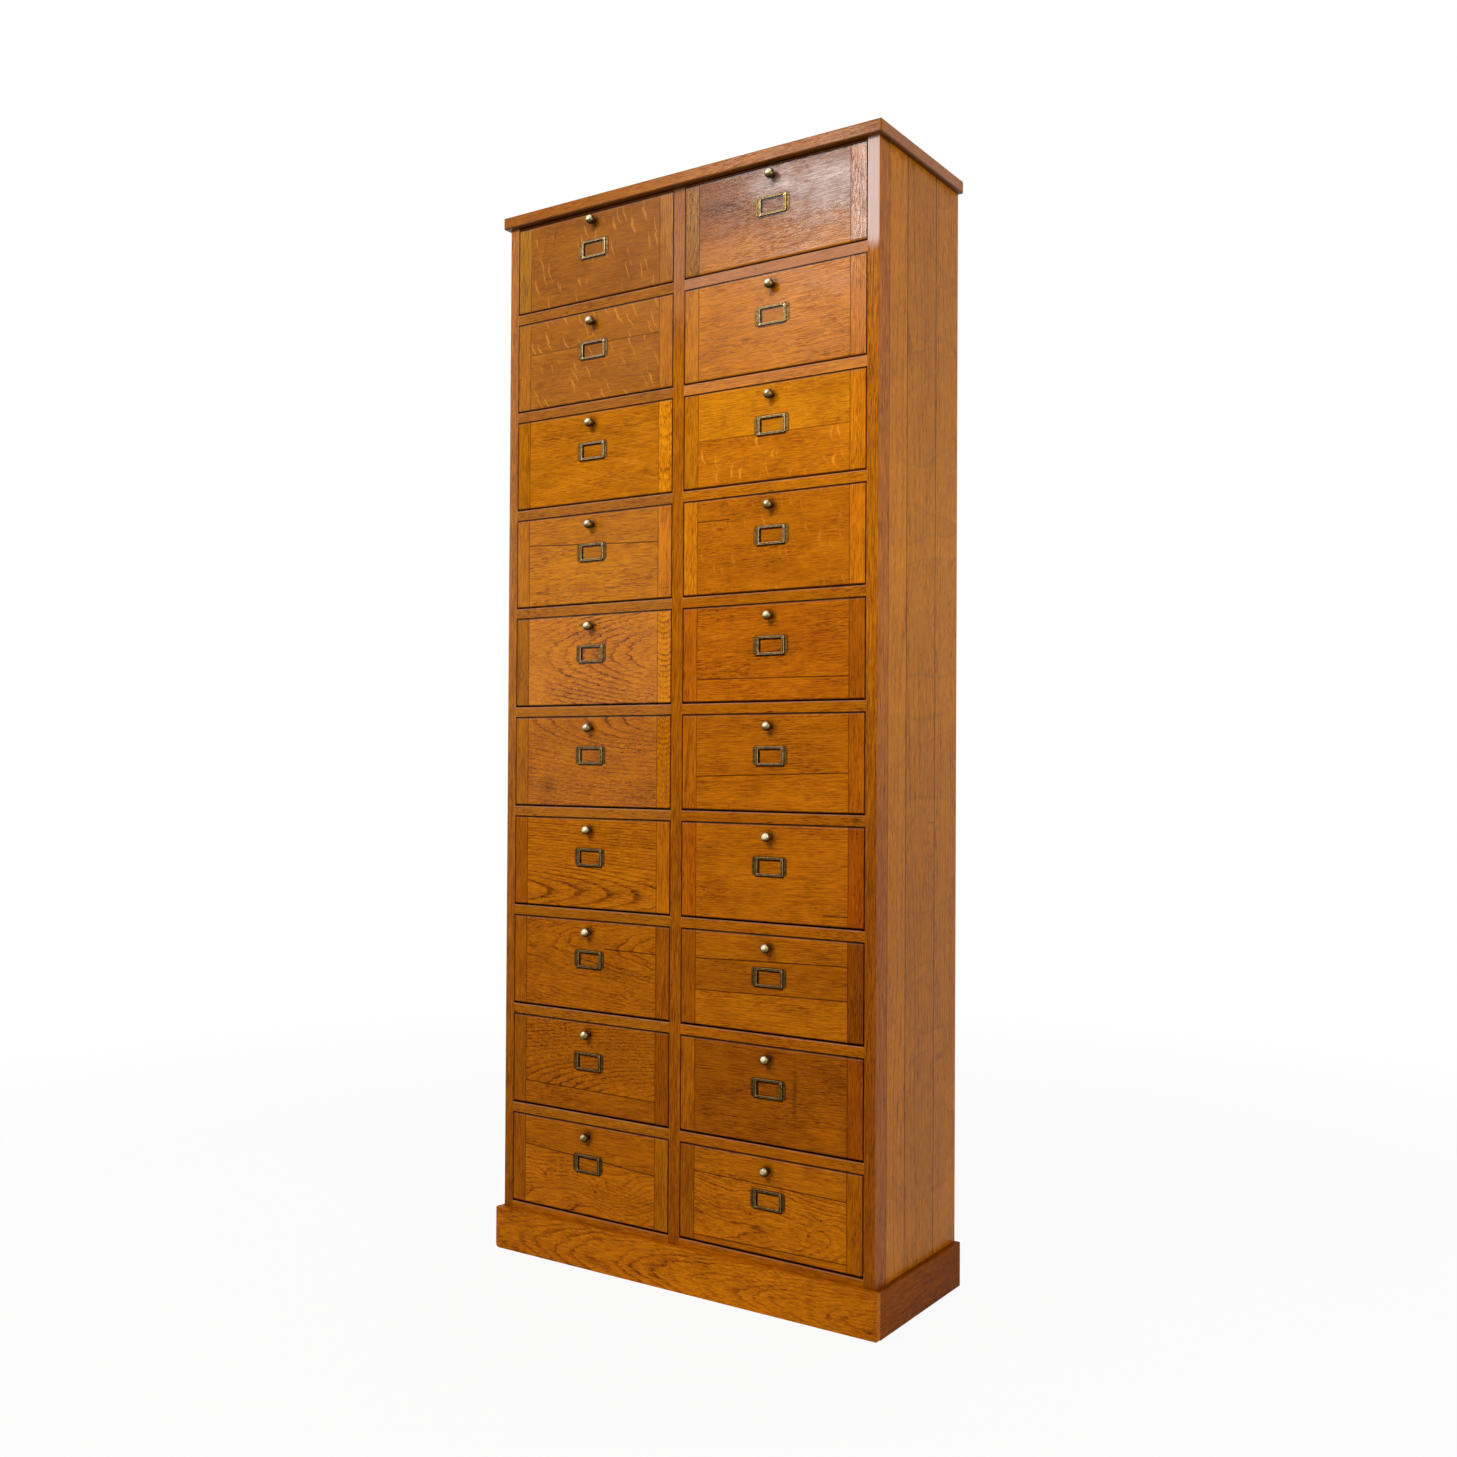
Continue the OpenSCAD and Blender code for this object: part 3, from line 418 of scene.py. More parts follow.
brass = {
    "aged": ((0.25, 0.15, 0.045), (0.09, 0.05, 0.015), 0.36),  # bright colour, worn and on knob crowns and holder edges also a painted highlight; dark skin; roughness
    "worn": ((0.95, 0.76, 0.48), (0.42, 0.29, 0.14), 0.26),
    "pin": ((0.11, 0.075, 0.035), (0.045, 0.028, 0.014), 0.4),
    "knob": ((1, 0.9, 0.64), (0.23, 0.165, 0.05), 0.12),
    "strike": ((0.62, 0.47, 0.2), (0.3, 0.21, 0.08), 0.25),
    "litCrownSide": (-0.05, -0.84, 0.54),  # the side of a knob painted bright as a highlight, and kept bright by fingers
    "crown": (0.92, 0.6),  # how far round it its bright crown reaches
    # darker towards the floor
    "byHeight": [(0.1, 0.42), (0.7, 0.48), (1.2, 0.75), (1.6, 0.9), (2.1, 1)],
    "knobByHeight": [(0.28, 0.55), (0.42, 0.95), (2.1, 1)],
}


def brassMaterial(kind):
    bright, patina, gloss = brass[kind]
    material, shader, w, place = newMaterial(kind + "Brass", {"Metallic": 1})
    x, y, z = place.parts()
    cloud = w.noise(place, 210, 4, 0.65)
    spots = w.noise(place, 900, 2, 0.6).ease(0.52, 0.68)
    scratches = w.noise(w.point(x * 3200, y * 500, z * 380), 1, 2)
    share, dirtAndShade, heights = cloud.ease(0.3, 0.74), None, brass["byHeight"]
    if kind == "knob":  # the crown is a painted highlight, partly worn bright by fingers; the sides keep their dark skin; the underside and the foot are painted shade with dirt
        facing, heights = w.node("TexCoord", out="Normal"), brass["knobByHeight"]
        out = w.node("VectorMath", {"operation": "DOT_PRODUCT"},
                     {0: facing, 1: brass["litCrownSide"]}, out="Value")
        crownShift = w.noise(place, 2.6, 0) - 0.5  # the painted highlight of the crown, with its wear, is larger on some knobs than others
        share = (share * 0.35).most((out + (cloud - 0.5) * 0.3 + crownShift * 0.9).ease(*brass["crown"]))
        dirtAndShade = (facing.parts()[2].ease(-0.1, -0.8) * 0.75).most(y.ease(faceY - 8 * mm, faceY - 6 * mm) * 0.95)
    if kind == "aged":  # painted shade with dirt in the crease where the raised frame meets its ears
        off = abs(abs(x) - columnX["right"]) - (holderSizes["raised"] / 2 + 0.7 * mm)
        dirtAndShade = abs(off).ease(1.4 * mm, 0.5 * mm) * 0.5
    colour = w.blend(share, bright + (1,), patina + (1,))
    colour = w.blend(spots * 0.3, colour, scaled(patina, 0.5))
    if dirtAndShade is not None:
        colour = colour.soiledAndShaded(dirtAndShade)
    if kind != "strike":
        stops = [(height / cabinetTall, (t, t ** 1.15, t ** 1.6, 1)) for height, t in heights]
        ramp = w.node("ValToRGB", {"stops": stops}, {0: z / cabinetTall})
        colour = w.blend(1, colour, ramp, "MULTIPLY")
    normal = (scratches * 0.5 + cloud - spots * 0.4).bump(0.35, 0.1 * mm)
    wireUp(shader, colour, cloud * 0.22 + spots * 0.2 + gloss, normal)
    return material


agedBrass, wornAndLitBrass, pinBrass, knobBrass, strikeBrass = (
    brassMaterial(kind) for kind in ("aged", "worn", "pin", "knob", "strike"))


def ironMaterial():
    material, shader, w, place = newMaterial("ironNails", {"Metallic": 0.7})
    rust = w.noise(place, 700, 3, 0.6).ease(0.42, 0.66)
    colour = w.blend(rust, (0.055, 0.05, 0.048, 1), (0.1, 0.042, 0.018, 1))
    wireUp(shader, colour, rust * 0.3 + 0.45, rust.bump(0.5, 0.1 * mm))
    return material


ironNails = ironMaterial()
print("finishes ready")


def startPiece():
    if bpy.context.mode != "OBJECT":
        bpy.ops.object.mode_set(mode="OBJECT")
    bpy.ops.object.select_all(action="DESELECT")


def take(piece):  # the operators act on this piece alone
    startPiece()
    bpy.context.view_layer.objects.active = piece
    piece.select_set(True)


def keepPlace(piece, name):  # its place goes into the mesh
    take(piece)
    piece.name = piece.data.name = name
    bpy.ops.object.transform_apply(location=True, rotation=True, scale=True)
    return piece


def block(name, low, high):
    startPiece()
    middle = [(a + b) / 2 for a, b in zip(low, high)]
    bpy.ops.mesh.primitive_cube_add(size=1, location=middle)
    piece = bpy.context.active_object
    piece.scale = [b - a for a, b in zip(low, high)]
    return keepPlace(piece, name)


def plate(name, x, z, wide, tall, front, rear):  # a block with its middle at x and z
    return block(name, (x - wide / 2, front, z - tall / 2), (x + wide / 2, rear, z + tall / 2))


def edit(piece, mode):
    take(piece)
    bpy.ops.object.mode_set(mode="EDIT")
    bpy.ops.mesh.select_mode(type=mode)
    bpy.ops.mesh.select_all(action="DESELECT")
    bpy.ops.object.mode_set(mode="OBJECT")


def pick(piece, kind, test):  # selects by place, then goes to edit mode
    edit(piece, {"vertices": "VERT", "edges": "EDGE", "polygons": "FACE"}[kind])
    points = piece.data.vertices
    for item in getattr(piece.data, kind):
        if kind == "vertices":
            item.select = test(item.co)
        else:
            item.select = all(test(points[i].co) for i in item.vertices)
    bpy.ops.object.mode_set(mode="EDIT")


def pickEdges(piece, test):  # by their two ends
    edit(piece, "EDGE")
    for edge in piece.data.edges:
        edge.select = test(*(piece.data.vertices[i].co for i in edge.vertices))
    bpy.ops.object.mode_set(mode="EDIT")


def bisect(piece, at, across, **more):
    pick(piece, "polygons", lambda p: True)
    bpy.ops.mesh.bisect(plane_co=at, plane_no=across, **more)


def done():
    bpy.ops.object.mode_set(mode="OBJECT")


def bevelPicked(width, segments, **more):
    bpy.ops.mesh.bevel(offset=width, segments=segments, affect="EDGES", **more)
    done()


def finishWith(piece, kind, **settings):  # one modifier, applied
    take(piece)
    modifier = piece.modifiers.new(kind.lower(), kind)
    for name, value in settings.items():
        setattr(modifier, name, value)
    bpy.ops.object.modifier_apply(modifier=modifier.name)
    return piece


def ease(piece, width, segments=2):  # rounds the sharp edges
    return finishWith(piece, "BEVEL", width=width, segments=segments, limit_method="ANGLE",
                      angle_limit=math.radians(35))


def cutAway(piece, cutter):
    finishWith(piece, "BOOLEAN", object=cutter, operation="DIFFERENCE", solver="EXACT")
    bpy.data.objects.remove(cutter)
    return piece


def softly(piece, angle=50, flat=True):  # smooth shading, with true flat faces if asked
    take(piece)
    bpy.ops.object.shade_smooth_by_angle(angle=math.radians(angle))
    return finishWith(piece, "WEIGHTED_NORMAL", keep_sharp=True) if flat else piece


def copyTo(piece, name, move):  # each copy has its own mesh
    copy = piece.copy()
    copy.data = piece.data.copy()
    copy.name = copy.data.name = name
    copy.data.transform(Matrix.Translation(move))
    scene.collection.objects.link(copy)
    return copy


def near(a, b, reach=0.00005):
    return abs(a - b) < reach


flapNames = ["%s_%02d" % (column, row) for column in columnX for row in range(1, 11)]
flapBox = {name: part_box("flap_" + name) for name in flapNames}

scallops = dict(cut="waves", pith=(0, 0.11), lean=(0, -0.3), ring=0.0032, waver=0.001, jag=0.002,
                lines=0.75)
# tones of panel, left and right batten; hues of the battens; boards from the bottom up; heights from the foot
flapLook = {
    "left_01": dict(tones=(0.65, 0.8, 0.8), hues=(1.2, 1.05), shine=0.14, hue=1.12, boards=[
        dict(cut="quarter", slant=0.25, curl=0.5, flecks=1.2, stains=[
            (-0.15, 0.143, 0.003, 0.034, 0.3, -15), (-0.13, 0.135, 0.003, 0.04, 0.3, -15),
            (-0.104, 0.151, 0.004, 0.03, 0.3, -15), (-0.162, 0.12, 0.003, 0.03, 0.25, -15),
            (0.02, 0.165, 0.2, 0.02, 0.12)])]),
    "left_02": dict(tones=(0.75, 0.9, 0.95), hues=(1.05, 0.95), shine=0.15, hue=1.1, boards=[
        dict(cut="quarter", slant=0.5, curl=-0.5, flecks=0.8),
        dict(cut="quarter", slant=0.5, curl=0.4, flecks=1.2)],
        battens=[dict(knots=[(0.072, -0.01, 0.004, 1)]), {}]),
    "left_03": dict(tones=(1, 0.85, 1.45), hues=(1.1, 0.95), hue=1.04, boards=[
        dict(cut="quarter", lines=0.2, pores=0.6, flecks=0.6, slant=4, curl=-0.6, streaks=0.9)],
        battens=[dict(pores=0.8), dict(scallops, lines=0.45, lean=(0, -0.15))]),
    "left_04": dict(tones=(1.1, 0.95, 1.15), hues=(1, 0.9), shine=0.15, hue=1.06, boards=[
        dict(cut="rift", pores=0.8, stains=[(-0.14, 0.03, 0.04, 0.004, 0.3)]), dict(tone=0.9, lines=0.2)],
        battens=[{}, dict(marks=[(0.022, -0.008, 0.024, 0.014, 0.0008)])]),
    "left_05": dict(tones=(1.1, 0.75, 1.4), hues=(1.15, 1), shine=0.25, boards=[
        dict(pith=(0.105, 0.089), lean=(0, -0.15), ring=0.0062, waver=0.002, jag=0.007, lines=0.95,
             fade=(0.02, 0.16))],
        battens=[dict(shine=0.12, stains=[(0.09, -0.012, 0.12, 0.006, 0.25)]), dict(scallops, shine=0.12)]),
    "left_06": dict(tones=(0.9, 0.8, 1.05), hues=(1.05, 1), shine=0.14, boards=[
        dict(pith=(0.185, 0.06), lean=(0, -0.15), ring=0.0075, jag=0.004, lines=0.75, pores=0.8,
             stains=[(-0.112, 0.045, 0.035, 0.03, 0.35), (0.1235, 0.1144, 0.005, 0.005, 0.5)])],
        battens=[dict(shine=0.1), dict(scallops, shine=0.03, lines=0.45)]),
    "left_07": dict(tones=(0.95, 0.7, 0.95), hues=(0.95, 0.95), boards=[
        dict(pith=(0.034, 0.0625), lean=(0, 0.064), ring=0.005, waver=0.002, jag=0.002, lines=0.8,
             pores=0.6, marks=[(-0.1305, 0.013, -0.1245, 0.024, 0.0008)])]),
    "left_08": dict(tones=(0.8, 0.7, 0.65), hues=(1, 0.95), boards=[
        dict(pith=(0.135, 0.07), lean=(0, -0.12), ring=0.0062, waver=0.012, ripple=9, jag=0.004,
             lines=0.7, seed=4.4, stains=[(-0.15, 0.125, 0.02, 0.006, 0.4)])], battens=[{}, dict(pores=0.9)]),
    "left_09": dict(tones=(0.75, 0.6, 0.55), hues=(1.1, 0.95), boards=[
        dict(tone=0.92),
        dict(pith=(0.02, 0.08), lean=(0, -0.2), ring=0.0062, waver=0.005, jag=0.004, lines=0.75,
             knots=[(-0.0745, 0.1686, 0.006, 1.5), (-0.0605, 0.1686, 0.005, 1.2)])],
        battens=[{}, dict(lines=0.6)]),
    "left_10": dict(tones=(0.9, 0.65, 0.75), hues=(1, 1.1), boards=[
        dict(pith=(0, 0.06), lean=(0, -0.1), ring=0.0062, waver=0.008, ripple=9, lines=0.65,
             eddies=[(0.0635, 0.058, 0.026, 5), (0.135, 0.05, 0.03, 2)],
             knots=[(-0.1125, 0.07, 0.008, 1.5), (0.0195, 0.054, 0.008, 1.2), (0.086, 0.009, 0.004, 0.6)]),
        dict(tone=0.84, lines=0.2)]),
    "right_01": dict(tones=(1, 0.6, 0.8), hues=(1.25, 1), shine=0.2, hue=1.05, boards=[
        dict(cut="rift", streaks=0.9,
             shades=[(1.99, 1.05), (2.03, 0.9), (2.07, 0.66), (2.1, 0.5), (2.16, 0.5)],
             stains=[(-0.12, 0.13, 0.05, 0.02, 0.25)], knots=[(0.1265, 0.1294, 0.004, 1)],
             milky=[(0.13, 0.125, 0.16, 0.075, 0.7), (-0.01, 0.15, 0.07, 0.035, 0.6)])],
        battens=[dict(cut="waves", shine=0.14, tone=0.68,
                      knots=[(0.156, 0, 0.005, 1.5), (0, 0, 0.005, 1.5)]),
                 dict(streaks=1.6, shine=0.3)]),
    "right_02": dict(tones=(1.15, 1.05, 1.1), hues=(1.05, 0.95), shine=0.16, boards=[
        dict(cut="rift", flecks=0.15, slant=1)]),
    "right_03": dict(tones=(1.2, 1.05, 1.3), hues=(1.1, 1), hue=0.95, boards=[
        dict(cut="quarter", flecks=0.7, slant=0.1, curl=1.6, pores=0.6),
        dict(cut="quarter", flecks=0.15, slant=0.6, tone=1.05, hue=1.05, pores=0.6,
             stains=[(0.01, 0.16, 0.07, 0.03, -0.2)])]),
    "right_04": dict(tones=(1, 1.3, 1.25), hues=(1, 0.95), hue=0.95, boards=[
        dict(cut="quarter", flecks=0.3, slant=0.2, curl=1.2, seed=2.6, pores=0.7)]),
    "right_05": dict(tones=(1, 0.95, 0.8), hues=(0.95, 1), hue=0.88, boards=[
        dict(cut="rift", pores=0.75), dict(pores=0.95, lines=0.25)], battens=[dict(pores=0.9), {}]),
    "right_06": dict(tones=(0.9, 0.95, 0.8), hues=(0.95, 0.9), hue=0.95, boards=[
        dict(cut="rift", tone=1.05), dict(knots=[(0.098, 0.073, 0.005, 1.2)])],
        battens=[dict(stains=[(0.09, -0.004, 0.1, 0.006, 0.4, 5)]),
                 dict(marks=[(0.012, 0.004, 0.04, 0.006, 0.0008)])]),
    "right_07": dict(tones=(0.9, 0.85, 0.7), hues=(0.85, 0.8), hue=0.95, boards=[
        dict(seed=5.9, pores=0.45), dict(seed=5.9, pores=0.45, knots=[
            (-0.1495, 0.0566, 0.005, 1.5), (0.1017, 0.036, 0.004, 1.2), (0.0257, 0.0266, 0.004, 1)])],
        battens=[{}, dict(knots=[(0.176, 0.0005, 0.005, 1.2), (0.064, -0.004, 0.004, 1)])]),
    "right_08": dict(tones=(0.85, 0.65, 0.45), hues=(0.95, 0.95), boards=[
        {}, dict(cut="rift", tone=0.85), dict(tone=0.95)], battens=[{}, dict(lines=0.5)]),
    "right_09": dict(tones=(0.6, 0.75, 0.55), hues=(1, 0.85), boards=[
        dict(waver=0.012, lines=0.4, stains=[
            (0.0585, 0.11, 0.006, 0.08, 0.35), (0.13, 0.05, 0.06, 0.05, -0.25)])],
        battens=[dict(pores=0.9, streaks=1.5), {}]),
    "right_10": dict(tones=(0.95, 0.6, 0.7), hues=(1.05, 1), boards=[
        dict(tone=0.82), dict(cut="waves", eddies=[(-0.12, 0.095, 0.035, 4)], knots=[
            (-0.0387, 0.076, 0.006, 1.5), (0.1165, 0.09, 0.006, 1.5), (0.0885, 0.057, 0.007, 1.5)]),
        dict(cut="rift", tone=0.9)]),
}
joints = {  # where a panel's boards meet: the left and right end as shares of the flap's height, then the
    # part of its width where the line shows, and how dark it is
    "left_02": [(0.63, 0.62, 0, 1, 0.5)], "left_04": [(0.7, 0.61)], "left_08": [(0.71, 0.69, 0.62, 1)],
    "left_09": [(0.26, 0.24)], "left_10": [(0.67, 0.58)], "right_03": [(0.49, 0.48, 0, 1, 0.4)],
    "right_04": [(0.77, 0.76, 0, 0.22)], "right_05": [(0.24, 0.23)], "right_06": [(0.35, 0.4)],
    "right_07": [(0.1, 0.11, 0.85, 1)], "right_08": [(0.37, 0.41), (0.7, 0.75)],
    "right_10": [(0.07, 0.09), (0.73, 0.7)],
}
modelled = {}  # each shape is modelled once and then copied


def boardShape(kind, box, below=None, above=None):  # a batten, or a panel's board between slanting joints
    s, height = flapSizes, round(box[1].z - box[0].z, 5)
    wide, gap = s["batten"], s["seam"]
    key = (kind, height, below, above)
    low, high = box[0].copy(), box[1].copy()
    low.x, high.x = {"panel": (low.x + wide, high.x - wide), "a": (low.x, low.x + wide - gap),
                     "b": (high.x - wide + gap, high.x)}[kind]
    if key not in modelled:
        piece = block("boardShape", low, high)
        if not below:
            pick(piece, "edges", lambda p: near(p.y, low.y) and near(p.z, low.z))
            bevelPicked(s["footRadius"], 5)
        for joint, upper in ((below, True), (above, False)):
            if joint:
                left = Vector((low.x, low.y, low.z + height * joint[0]))
                right = Vector((high.x, low.y, low.z + height * joint[1]))
                run = (right - left).normalized()
                bisect(piece, left, (-run.z, 0, run.x), use_fill=True, clear_inner=upper,
                       clear_outer=not upper)
                done()
        if kind == "panel" and not above:
            long, deep, tall = s["mortiseLong"], s["mortiseDeep"], s["mortiseTall"]
            x, y = (low.x + high.x) / 2, low.y + s["thick"] / 2
            cutAway(piece, plate("cutter", x, high.z, long, 2 * tall, y - deep / 2, y + deep / 2))
        arris = s["arris"] * (0.7 if kind == "panel" else 1)
        modelled[key] = (softly(ease(piece, arris)), low)
    shape, was = modelled[key]
    return shape, low - was


def jointMark(joint, tall):  # the dark line of a joint, along the part of it that shows
    left, right, *seen = joint
    start, end = seen[:2] or (0, 1)
    u = [(share - 0.5) * flapSizes["panel"] for share in (start, end)]
    v = [flapSizes["footGap"] + (left + (right - left) * share) * tall for share in (start, end)]
    return (u[0], v[0], u[1], v[1], flapSizes["jointWide"], *seen[2:])


for name, box in flapBox.items():
    column, row = name.split("_")
    look, body = flapLook[name], "flap_" + name
    number = int(row) + (0 if column == "left" else 10)
    shared = dict({k: look[k] for k in ("shine", "hue") if k in look}, ends=(box[0].z, box[1].z))
    foot, tall, gap = box[0].z - flapSizes["footGap"], box[1].z - box[0].z, flapSizes["footGap"]
    end, battenEnd = flapSizes["panelEnd"], flapSizes["battenEnd"]
    steps, parts = joints.get(name, []), []
    looks = look["boards"] * (len(steps) + 1) if len(look["boards"]) == 1 else look["boards"]
    for i in range(len(steps) + 1):
        below, above = steps[i - 1] if i else None, steps[i] if i < len(steps) else None
        shape, move = boardShape("panel", box, below, above)
        own = dict({"seed": number * 0.73 + i * 0.31, "fitted": True}, **dict(shared, **looks[i]))
        own["tone"] = own.get("tone", 1) * look["tones"][0]
        own["marks"] = own.get("marks", []) + [jointMark(j, tall) for j in (below, above) if j]
        piece = copyTo(shape, "panel_%s_%d" % (name, i + 1), move)
        centre = (columnX[column], foot, faceY)
        wear(piece, oakMaterial(piece.name, "xzy", centre, own, rim=(-end, end, gap, tall + gap)))
        parts.append(piece)
    battens = look.get("battens", [{}, {}])
    for side, tone, hue, own in zip("ab", look["tones"][1:], look["hues"], battens):
        shape, move = boardShape(side, box)
        out, firstSeed = (-1, 0.2) if side == "a" else (1, 7.7)
        own = dict({"seed": number * 0.41 + firstSeed, "cut": "rift", "tone": tone, "outer": out},
                   **dict(shared, **own))
        own["hue"] = own.get("hue", 1) * hue
        piece = copyTo(shape, "batten_%s_%s" % (name, side), move)
        centre = (foot, columnX[column] + out * flapSizes["battenMiddle"], faceY)
        wear(piece, oakMaterial(piece.name, "zxy", centre, own, rim=(gap, tall + gap, -battenEnd, battenEnd)))
        parts.append(piece)
    for piece in parts:
        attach(piece, body)
    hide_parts("flap_" + name)
for shape, was in modelled.values():
    bpy.data.objects.remove(shape)
print("flaps built:", len(flapBox))


# knobs, label holders, pins and catches are modelled on one flap and copied to the rest
catchSizes = inMetres(long=34, wide=8, thick=0.6, rise=2.6, foot=6, crest=6, mortise=2.4)
pivotSizes = inMetres(radius=2.5, deep=7, high=9, inner=188.75, outer=213.5)


def knobShape(x, z):  # a disc drawn out ring by ring to the neck and the ball
    s = knobSizes
    startPiece()
    bpy.ops.mesh.primitive_cylinder_add(vertices=32, radius=s["foot"], depth=s["footThick"],
                                        location=(x, faceY - s["footThick"] / 2, z),
                                        rotation=(math.radians(90), 0, 0))
    piece = keepPlace(bpy.context.active_object, "knobShape")
    tip = faceY - s["footThick"]
    ball, middle = s["ball"], faceY - s["reach"] + s["ball"]
    join = math.asin(s["neck"] / ball)
    rings = [(tip - 0.7 * mm, s["foot"] * 0.86), (tip - 1.1 * mm, s["neck"] * 1.12)]
    steps = 11
    for i in range(steps):
        angle = join + (math.pi - join) * i / steps
        rings.append((middle + ball * math.cos(angle), ball * math.sin(angle)))
    pick(piece, "polygons", lambda p: near(p.y, tip))
    width = s["foot"]
    for y, radius in rings:
        bpy.ops.mesh.extrude_region_move(TRANSFORM_OT_translate={"value": (0, y - tip, 0)})
        share = radius / width
        bpy.ops.transform.resize(value=(share, 1, share), center_override=(x, y, z))
        tip, width = y, radius
    bpy.ops.mesh.extrude_region_move(TRANSFORM_OT_translate={"value": (0, middle - ball - tip, 0)})
    bpy.ops.mesh.merge(type="CENTER")
    bpy.ops.mesh.select_all(action="SELECT")
    bpy.ops.mesh.normals_make_consistent(inside=False)
    done()
    return softly(piece, 50, flat=False)


def holderShape(x, z):
    s = holderSizes
    ears = plate("ears", x, z, s["width"], s["earTall"], faceY - s["metal"], faceY)
    raised = plate("raised", x, z, s["raised"], s["tall"], faceY - s["proud"], faceY)
    window = plate("cutter", x, z, s["windowWide"], s["windowTall"], faceY - 2 * s["proud"],
                   faceY + s["proud"])
    for part, corner, segments in ((ears, "corner", 5), (raised, "shoulder", 5), (window, "windowCorner", 4)):
        pickEdges(part, lambda a, b: abs(a.y - b.y) > s["metal"] / 2)
        bevelPicked(s[corner], segments)
    finishWith(ears, "BOOLEAN", object=raised, operation="UNION", solver="EXACT")
    bpy.data.objects.remove(raised)
    pocket = s["raised"] / 2 - s["metal"]
    low = (x - pocket, faceY - s["proud"] + s["metal"], z - s["tall"] / 2 + s["metal"])
    cutAway(ears, block("cutter", low, (x + pocket, faceY + s["metal"], z + s["tall"])))
    cutAway(ears, window)
    wear(ears, agedBrass)
    ears.data.materials.append(wornAndLitBrass)
    # the bevelled edges take the bright brass: worn edges with a painted highlight
    for depth, width in ((s["proud"], s["edge"]), (s["metal"], s["edge"] / 2)):
        pick(ears, "edges", lambda p: near(p.y, faceY - depth))
        bevelPicked(width, 2, material=1, clamp_overlap=True)
    return softly(keepPlace(ears, "holderShape"))


def joined(parts, name):
    startPiece()
    for part in parts:
        part.select_set(True)
    bpy.context.view_layer.objects.active = parts[0]
    bpy.ops.object.join()
    return keepPlace(parts[0], name)


def pinsShape(x, z):  # four domed heads
    s, heads = holderSizes, []
    for sx in (-1, 1):
        for sz in (-1, 1):
            at = (x + sx * s["pinX"], faceY - s["metal"], z + sz * s["pinZ"])
            startPiece()
            bpy.ops.mesh.primitive_uv_sphere_add(segments=14, ring_count=8, radius=s["pinHead"], location=at,
                                                 rotation=(math.radians(90), 0, 0))
            head = keepPlace(bpy.context.active_object, "head")
            bisect(head, at, (0, 1, 0), use_fill=True, clear_outer=True)
            bpy.ops.mesh.select_all(action="SELECT")
            bpy.ops.transform.resize(value=(1, 0.5, 1), center_override=at)
            done()
            heads.append(head)
    return softly(joined(heads, "pinsShape"), 60, flat=False)


def leafShape(x, top):  # a strip with a raised crest, in the flap's top edge
    s = catchSizes
    startPiece()
    bpy.ops.mesh.primitive_plane_add(size=1, location=(x, faceY + flapSizes["thick"] / 2, top - s["mortise"]))
    piece = bpy.context.active_object
    piece.scale = (s["long"], s["wide"], 1)
    keepPlace(piece, "leafShape")
    half = s["long"] / 2
    for place in (-half + s["foot"], -s["crest"] / 2, s["crest"] / 2, half - s["foot"]):
        bisect(piece, (x + place, 0, 0), (1, 0, 0))
        done()
    pick(piece, "vertices", lambda p: abs(p.x - x) < s["crest"] / 2 + 0.1 * mm)
    bpy.ops.transform.translate(value=(0, 0, s["rise"]))
    done()
    finishWith(piece, "SOLIDIFY", thickness=s["thick"], offset=1)
    return softly(ease(piece, 0.15 * mm, 1))


def pivotShape(x, z):
    s, pins = pivotSizes, []
    for side in (-1, 1):
        startPiece()
        at = (x + side * (s["inner"] + s["outer"]) / 2, faceY + s["deep"], z + s["high"])
        bpy.ops.mesh.primitive_cylinder_add(vertices=24, radius=s["radius"], depth=s["outer"] - s["inner"],
                                            location=at, rotation=(0, math.radians(90), 0))
        pins.append(ease(keepPlace(bpy.context.active_object, "pin"), 0.5 * mm, 2))
    return softly(joined(pins, "pivotShape"))


firstBox, firstX = flapBox["left_02"], columnX["left"]
firstFoot = firstBox[0].z - flapSizes["footGap"]
shapes = {
    "knob": knobShape(firstX, firstFoot + knobSizes["height"]),
    "labelHolder": holderShape(firstX, firstFoot + holderSizes["height"]),
    "labelPins": pinsShape(firstX, firstFoot + holderSizes["height"]),
    "pivotPins": pivotShape(firstX, firstFoot),
    "catchLeaf": leafShape(firstX, firstBox[1].z),
}
for kind, shape in shapes.items():
    if kind != "labelHolder":
        wear(shape, {"knob": knobBrass, "labelPins": pinBrass}.get(kind, agedBrass))
    for name, box in flapBox.items():
        move = Vector((columnX[name.split("_")[0]] - firstX, 0, box[0].z - firstBox[0].z))
        if kind == "catchLeaf":
            move.z = box[1].z - firstBox[1].z
        piece = copyTo(shape, kind + "_" + name, move)
        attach(piece, "flap_" + name)
        if kind == "knob":
            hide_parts("fittings_" + name)
    bpy.data.objects.remove(shape)
print("knobs, holders and catches built")


